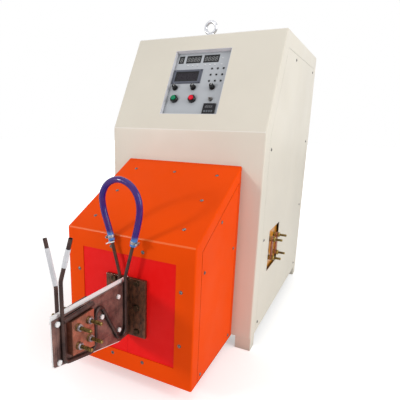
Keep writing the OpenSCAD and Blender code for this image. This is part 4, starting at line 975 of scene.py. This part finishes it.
def studs():
    """The clamp blocks' threaded studs with their nuts and washers."""
    rods, nuts, washers = [bmesh.new() for _ in range(3)]
    generator = random.Random(11)
    for side, y in ((1, STUD_Y), (-1, STUD_Y + LEFT_BACK)):
        for sy in (y - STUD_PITCH_Y / 2, y + STUD_PITCH_Y / 2):
            for sz in (STUD_Z - STUD_PITCH_Z / 2, STUD_Z + STUD_PITCH_Z / 2):
                root = placed(side * (BLOCK_OUT - STUD_SUNK), sy, sz, (side, 0, 0))
                threaded_rod(rods, M10_D, M10_PITCH, STUD_SUNK + STUD_OUT, root)
                seat = placed(side * BLOCK_OUT, sy, sz, (side, 0, 0), generator.uniform(0, math.pi))
                washer(washers, WASHER_BORE, 20, WASHER_T, seat)
                hex_piece(nuts, 16.6, NUT_H, seat, 2.0)
    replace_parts(show("clamp_stud_rods", rods, "old_brass"), "clamp_studs")
    show("clamp_stud_nuts", nuts, "zinc")
    show("clamp_stud_washers", washers, "old_brass")


def terminals():
    """The side terminals' threaded studs, nuts and washers."""
    rods, nuts, washers = [bmesh.new() for _ in range(3)]
    generator = random.Random(13)
    for y in TERMINAL_YS:
        for z in TERMINAL_ZS:
            root = placed(TERMINAL_START, y, z, X_AXIS)
            threaded_rod(rods, M10_D, M10_PITCH, TERMINAL_LEN, root)
            for x in TERMINAL_WASHERS:
                washer(washers, WASHER_BORE, 21, WASHER_T, placed(x, y, z, X_AXIS))
            for x in TERMINAL_NUTS:
                seat = placed(x, y, z, X_AXIS, generator.uniform(0, math.pi))
                hex_piece(nuts, 16.8, NUT_H, seat)
    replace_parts(show("terminal_rods", rods, "brass"), "terminal_studs")
    show("terminal_nuts", nuts, "brass")
    show("terminal_washers", washers, "old_brass")


def flange_screws():
    """Hexagon bolts with washers on the mounting flanges."""
    bm = bmesh.new()
    front = SHEET - STATION_D - FLANGE_T
    generator = random.Random(17)
    for x in FLANGE_XS:
        for z in FLANGE_ZS:
            place = placed(x, front, z, (0, -1, 0), generator.uniform(0, math.pi))
            washer(bm, 10, 20.5, 1.4, place)
            hex_piece(bm, 16.8, 4.9, place, 1.5, both=False)
            turned(bm, BOLT_HEAD, place, 24)
            turned(bm, BOLT_SHANK, place, 20)
    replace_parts(show("flange_screws", bm, "oiled"), "flange_bolts")


def worm_clamps():
    """Worm-drive clamps on the hose: a slotted band, a housing and a hexagon screw."""
    bm = bmesh.new()
    for side, y, turn in ((1, REAR_Y, 0.0), (-1, REAR_Y + LEFT_BACK, math.pi)):
        place = lean_place(side, (TUBE_X, y, REAR_BEND_Z), REAR_LEAN, CLAMP_ALONG, turn)
        closed_ring(bm, CLAMP_BAND, place, 48)
        for i in range(BAND_SLOTS):
            spin = place @ rotated(SLOT_FIRST + i * SLOT_STEP, "Z")
            cut_place = spin @ Matrix.Translation((SLOT_R, 0, CLAMP_MID)) @ rotated(SLOT_TILT, "X")
            plate(bm, 0.16, 0.9, 5.4, cut_place, low=-2.7)
        house = place @ Matrix.Translation((13.3, 0, CLAMP_MID))
        plate(bm, 5.2, 11.5, 8.4, house, radius=1.6, low=-4.2, edge=0.5)
        worm = place @ Matrix.Translation((13.4, -8.6, CLAMP_MID)) @ rotated(-90, "X")
        turned(bm, WORM_SCREW, worm, 20)
        hex_piece(bm, 6.6, 3.4, worm, -1.2)
    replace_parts(show("worm_clamps", bm, "zinc"), "hose_clamps")


def sleeve(name, side, base, lean, span, seed):
    """White tape wound round a tube end: overlapping turns with slightly uneven edges."""
    bm = bmesh.new()
    generator = random.Random(seed)
    profile = [(TAPE_BORE, 0.0)]
    level = 0.0
    start, end = span
    length = end - start
    while level < length - 5:
        width = generator.uniform(*TAPE_WIDTHS)
        fat = generator.uniform(*TAPE_RS)
        profile += [(fat + 0.32, level + 0.1), (fat + 0.36, level + 0.5), (fat, level + width * 0.92)]
        level += width
    profile += [(5.9, min(level + 0.5, length)), (TAPE_BORE, min(level + 0.7, length + 0.2))]
    closed_ring(bm, profile, lean_place(side, base, lean, start), 28)
    show(name, bm, "tape", sharp=50)


def cable_tie():
    """A white tie round the tube just under the left clamp."""
    bm = bmesh.new()
    base = (TUBE_X, REAR_Y + LEFT_BACK, REAR_BEND_Z)
    place = lean_place(-1, base, REAR_LEAN, TIE_ALONG, math.radians(200))
    closed_ring(bm, TIE_BAND, place, 40)
    head = place @ Matrix.Translation((8.4, 0, TIE_MID))
    plate(bm, 4.6, 6.4, 5.6, head, radius=0.8, low=-2.8, edge=0.4)
    tail = place @ Matrix.Translation((9.4, 3.0, TIE_MID)) @ rotated(-24, "Z")
    prism(bm, TIE_TAIL, 3.4, tail, -1.7)
    show("cable_tie", bm, "white")


cover_screws()
studs()
terminals()
flange_screws()
worm_clamps()
sleeve("left_stub_tape", -1, LEFT_STUB, LEFT_LEAN, LEFT_TAPE, 3)
sleeve("right_stub_tape", 1, RIGHT_STUB, RIGHT_LEAN, RIGHT_TAPE, 4)
cable_tie()

# Control face

# Of each bar: its place in half widths and half heights, and whether it is level
SEGMENT_BARS = (
    (0, 1, 1), (0, 0, 1), (0, -1, 1), (-1, 0.5, 0), (1, 0.5, 0), (-1, -0.5, 0), (1, -0.5, 0)
)
SEGMENT_T = 0.25
SLANT = 0.13
# Of each display: its middle, its width and the number of its digits
DISPLAYS = ((-88.6, 21, 1), (-37.5, 60, 4), (34.0, 61, 4))
DISPLAY_H = 32.4
DIGIT = (7.6, 15.5, 1.9)
DIGIT_PITCH = 13.6
PRINT_OUT = 0.02
MARK_R = 13
MARK_W = 0.5
PRINT_T = 0.06
KNOB_TOP = 16.1
TIMER_DIGIT = (3.7, 8.4, 0.95)
TIMER_DIGIT_PITCH = 7.2
TIMER_DIGIT_UP = 9.9
TIMER_WINDOW_UP = 9.94
TIMER_CELL = 8.97
BEZEL_SCREW_X = 55.5
BEZEL_SCREW_UP = 26
BEZEL_SCREW = [(0, 0), (1.7, 0), (1.7, 0.5), (1.2, 0.9), (0, 1.0)]
COLLAR = [(9.6, -1.6), (11.6, -1.6), (11.7, 0.0), (11.3, 0.45), (10.1, 0.5), (9.65, 0.1)]


def on_face(draw, name, finish, body="machine"):
    bm = bmesh.new()
    draw(bm)
    show(name, bm, finish, body)


def digit(bm, x, up, out, w, h, bar):
    """The seven bars of an unlit digit and its point, slanted to the right."""
    for sx, sy, level in SEGMENT_BARS:
        long = (w if level else h / 2) - bar * 0.35
        place = on_panel(x + sx * w / 2 + sy * h / 2 * SLANT, up + sy * h / 2, out)
        half = long / 2
        tip = bar / 2
        flat = half - tip
        shape = [(-half, 0), (-flat, -tip), (flat, -tip), (half, 0), (flat, tip), (-flat, tip)]
        turn = 0.0 if level else math.pi / 2 - math.atan(SLANT)
        prism(bm, shape, SEGMENT_T, place @ Matrix.Rotation(turn, 4, "Z"))
    r = bar * 0.45
    dot = on_panel(x + w / 2 + bar * 1.1, up - h / 2, out)
    turned(bm, [(0, 0), (r, 0), (r, SEGMENT_T), (0, SEGMENT_T)], dot, 12)


def displays(bm):
    for middle, _, count in DISPLAYS:
        for i in range(count):
            x = middle + (i - (count - 1) / 2) * DIGIT_PITCH - 1
            digit(bm, x, DISPLAY_ROW, -0.75, *DIGIT)


def display_rims(bm):
    for middle, width, _ in DISPLAYS:
        outer = rectangle(width + 0.4, DISPLAY_H, 1.2)
        inner = rectangle(width - 2.2, DISPLAY_H - 2.6, 0.8)
        ring_face(bm, outer, inner, 0.7, on_panel(middle, DISPLAY_ROW, -0.3))


def ring_face(bm, outer, inner, t, place):
    """A flat frame between two outlines that have as many points."""
    n = len(outer)
    points = []
    for z in (0, t):
        points += [(x, y, z) for x, y in outer] + [(x, y, z) for x, y in inner]
    faces = []
    for i in range(n):
        j = (i + 1) % n
        faces += [[i, n + i, n + j, j], [2 * n + i, 2 * n + j, 3 * n + j, 3 * n + i]]
        faces += [[i, j, 2 * n + j, 2 * n + i], [n + i, 3 * n + i, 3 * n + j, n + j]]
    add_faces(bm, points, faces, place)


def screen_detail(bm):
    """The display glass sits in a dark inner frame."""
    place = on_panel(SCREEN_X, SCREEN_ROW, 1.2)
    ring_face(bm, rectangle(94.8, 41.8, 1.0), rectangle(84, 32, 1.5), 0.9, place)


def printed_marks(bm):
    """Scales round the knobs, rules under the lamps and over the buttons, and a line round the plate."""
    for k in (-1, 0, 1):
        for i in range(11):
            a = math.radians(-60 + i * 30)
            long = 2.4 if i % 5 == 0 else 1.5
            knob = on_panel(KNOB_X + k * KNOB_PITCH, KNOB_ROW, PRINT_OUT)
            mark = knob @ Matrix.Rotation(a, 4, "Z") @ Matrix.Translation((MARK_R + long / 2, 0, 0))
            plate(bm, long, MARK_W, PRINT_T, mark)
    for share in LAMP_SHARES:
        plate(bm, 6, 0.5, PRINT_T, on_panel(share * PANEL_W, LAMP_ROW - 5, PRINT_OUT))
    for x in (GREEN_X, RED_X):
        plate(bm, 12, 0.6, PRINT_T, on_panel(x, BUTTON_ROW + 19.5, PRINT_OUT))
    outer = rectangle(PANEL_W - 7, PANEL_L - 7, 3)
    inner = rectangle(PANEL_W - 8, PANEL_L - 8, 3)
    ring_face(bm, outer, inner, 0.05, on_panel(0, PANEL_L / 2, PRINT_OUT))


def pointer(k):
    def draw(bm):
        place = on_panel(KNOB_X + k * KNOB_PITCH, KNOB_ROW, KNOB_TOP)
        plate(bm, 1.6, 7.4, 0.75, place @ Matrix.Translation((0, 4.2, 0)), edge=0.12)
    return draw


def timer_face(bm):
    plate(bm, 35.2, 15.4, 0.7, on_panel(TIMER_X, TIMER_ROW + TIMER_WINDOW_UP, 4.1), radius=0.8, edge=0.15)


def timer_digits(bm):
    for i in range(4):
        digit(bm, TIMER_X - 11.5 + i * TIMER_DIGIT_PITCH, TIMER_ROW + TIMER_DIGIT_UP, 4.8, *TIMER_DIGIT)


def timer_keys(bm):
    for i in range(4):
        place = on_panel(TIMER_X + (i - 1.5) * TIMER_CELL, TIMER_ROW - TIMER_CELL + 0.4, 4.55)
        plate(bm, 6.4, 7.8, 0.9, place, radius=1.0, edge=0.25)
        plate(bm, 2.6, 0.5, 0.12, place @ Matrix.Translation((0, 0, 0.88)))


def bezel_screws(bm):
    for sx in (-1, 1):
        for sy in (-1, 1):
            up = SCREEN_ROW + sy * BEZEL_SCREW_UP
            turned(bm, BEZEL_SCREW, on_panel(SCREEN_X + sx * BEZEL_SCREW_X, up, 1.45), 20)


def button_rims(bm):
    """A glossy black collar round each cap, at the ring's top."""
    for x in (GREEN_X, RED_X):
        closed_ring(bm, COLLAR, on_panel(x, BUTTON_ROW, RING_H), 48)


on_face(displays, "display_segments", "segment")
on_face(display_rims, "display_rims", "black")
on_face(screen_detail, "screen_frame", "black")
on_face(printed_marks, "printed_marks", "mark")
on_face(bezel_screws, "bezel_screws", "black_gloss")
on_face(button_rims, "button_collars", "black_gloss")
on_face(timer_face, "timer_window", "screen")
on_face(timer_digits, "timer_segments", "segment")
on_face(timer_keys, "timer_keys", "timer_key")
for k, which in ((-1, "left"), (0, "middle"), (1, "right")):
    on_face(pointer(k), f"knob_{which}_pointer", "white", f"knob_{which}")

# Back

TAIL_X = -120
TAIL_Y = 914
TAIL_ZS = (170, 260)
BARB_PITCH = 10
BARB = [(9.9, 0), (11.0, 0.3), (11.1, 1.2), (10.0, 8), (9.9, 8)]
GLAND_X = 150
GLAND_Z = 170
GLAND_RIBS = 12
RIB_PLACE = (20.4, 0, 10)


def tail_barbs(bm):
    for z in TAIL_ZS:
        for i in range(4):
            closed_ring(bm, BARB, placed(TAIL_X, TAIL_Y + i * BARB_PITCH, z, Y_AXIS), 40)


def gland_ribs(bm):
    for i in range(GLAND_RIBS):
        place = placed(GLAND_X, CABINET_D, GLAND_Z, Y_AXIS) @ rotated(i * 360 / GLAND_RIBS, "Z")
        plate(bm, 2.4, 1.6, 13, place @ Matrix.Translation(RIB_PLACE), edge=0.4)


on_face(tail_barbs, "tail_barbs", "brass")
on_face(gland_ribs, "gland_ribs", "black")

# Light and floor, in metres and watts

WHITE = (1, 1, 1, 1)
# Of each area light: its name, place, height of the point it faces, size and power
LIGHTS = (
    ("front_left_soft", (-1.7, -2.7, 1.25), 0.5, 0.4, 22),
    ("right_soft", (3.4, -0.6, 1.9), 0.5, 2.2, 55),
    ("top_soft", (0.2, -0.6, 3.4), 0.4, 2.4, 11)
)
WORLD_STRENGTH = 0.46
FLOOR_R = 14
NEAR_GLOW = 0.42
GLOW_START = 0.6
GLOW_END = 2.4


def make_lights():
    for name, place, height, size, power in LIGHTS:
        data = bpy.data.lights.new(name, "AREA")
        data.size = size
        data.energy = power
        lamp = linked(name, data)
        lamp.location = place
        lamp.rotation_euler = (Vector((0, 0, height)) - Vector(place)).to_track_quat("-Z", "Y").to_euler()


def combined(operation, first, second):
    node = add_node(first, "Math", {0: first, 1: second})
    node.operation = operation
    return node.outputs[0]


def make_world():
    """A dim white surrounding that looks plain white where it is seen."""
    world = bpy.data.worlds.new("studio")
    bpy.context.scene.world = world
    world.use_nodes = True
    tree = world.node_tree
    tree.nodes.clear()
    rays = add_node(tree, "LightPath", {}).outputs
    seen = combined("MAXIMUM", rays["Is Camera Ray"], rays["Is Glossy Ray"])
    seen = combined("MAXIMUM", seen, rays["Is Transmission Ray"])
    dim = add_node(tree, "Background", {"Color": WHITE, "Strength": WORLD_STRENGTH})
    plain = add_node(tree, "Background", {"Color": WHITE, "Strength": 1.0})
    mix = add_node(tree, "MixShader", {0: seen, 1: dim.outputs[0], 2: plain.outputs[0]})
    add_node(tree, "OutputWorld", {0: mix.outputs[0]})


def make_floor():
    """A white floor that takes the shadow and fades into the backdrop away from the machine."""
    bm = bmesh.new()
    bmesh.ops.create_circle(bm, cap_ends=True, segments=64, radius=FLOOR_R)
    floor = linked("floor", mesh_of("floor", bm))
    material, shader, coords = new_material("floor")
    feed(shader, {
        "Base Color": (0.9, 0.9, 0.9, 1), "Roughness": 0.9, "Specular IOR Level": 0.0,
        "Emission Color": WHITE
    })
    away = add_node(shader, "VectorMath", {0: coords})
    away.operation = "LENGTH"
    camera_ray = add_node(shader, "LightPath", {}).outputs["Is Camera Ray"]
    fade = spread(away.outputs["Value"], NEAR_GLOW, 1.0, GLOW_START, GLOW_END)
    feed(shader, {"Emission Strength": combined("MULTIPLY", camera_ray, fade)})
    floor.data.materials.append(material)


bpy.context.scene.view_settings.view_transform = "Standard"
make_lights()
make_world()
make_floor()
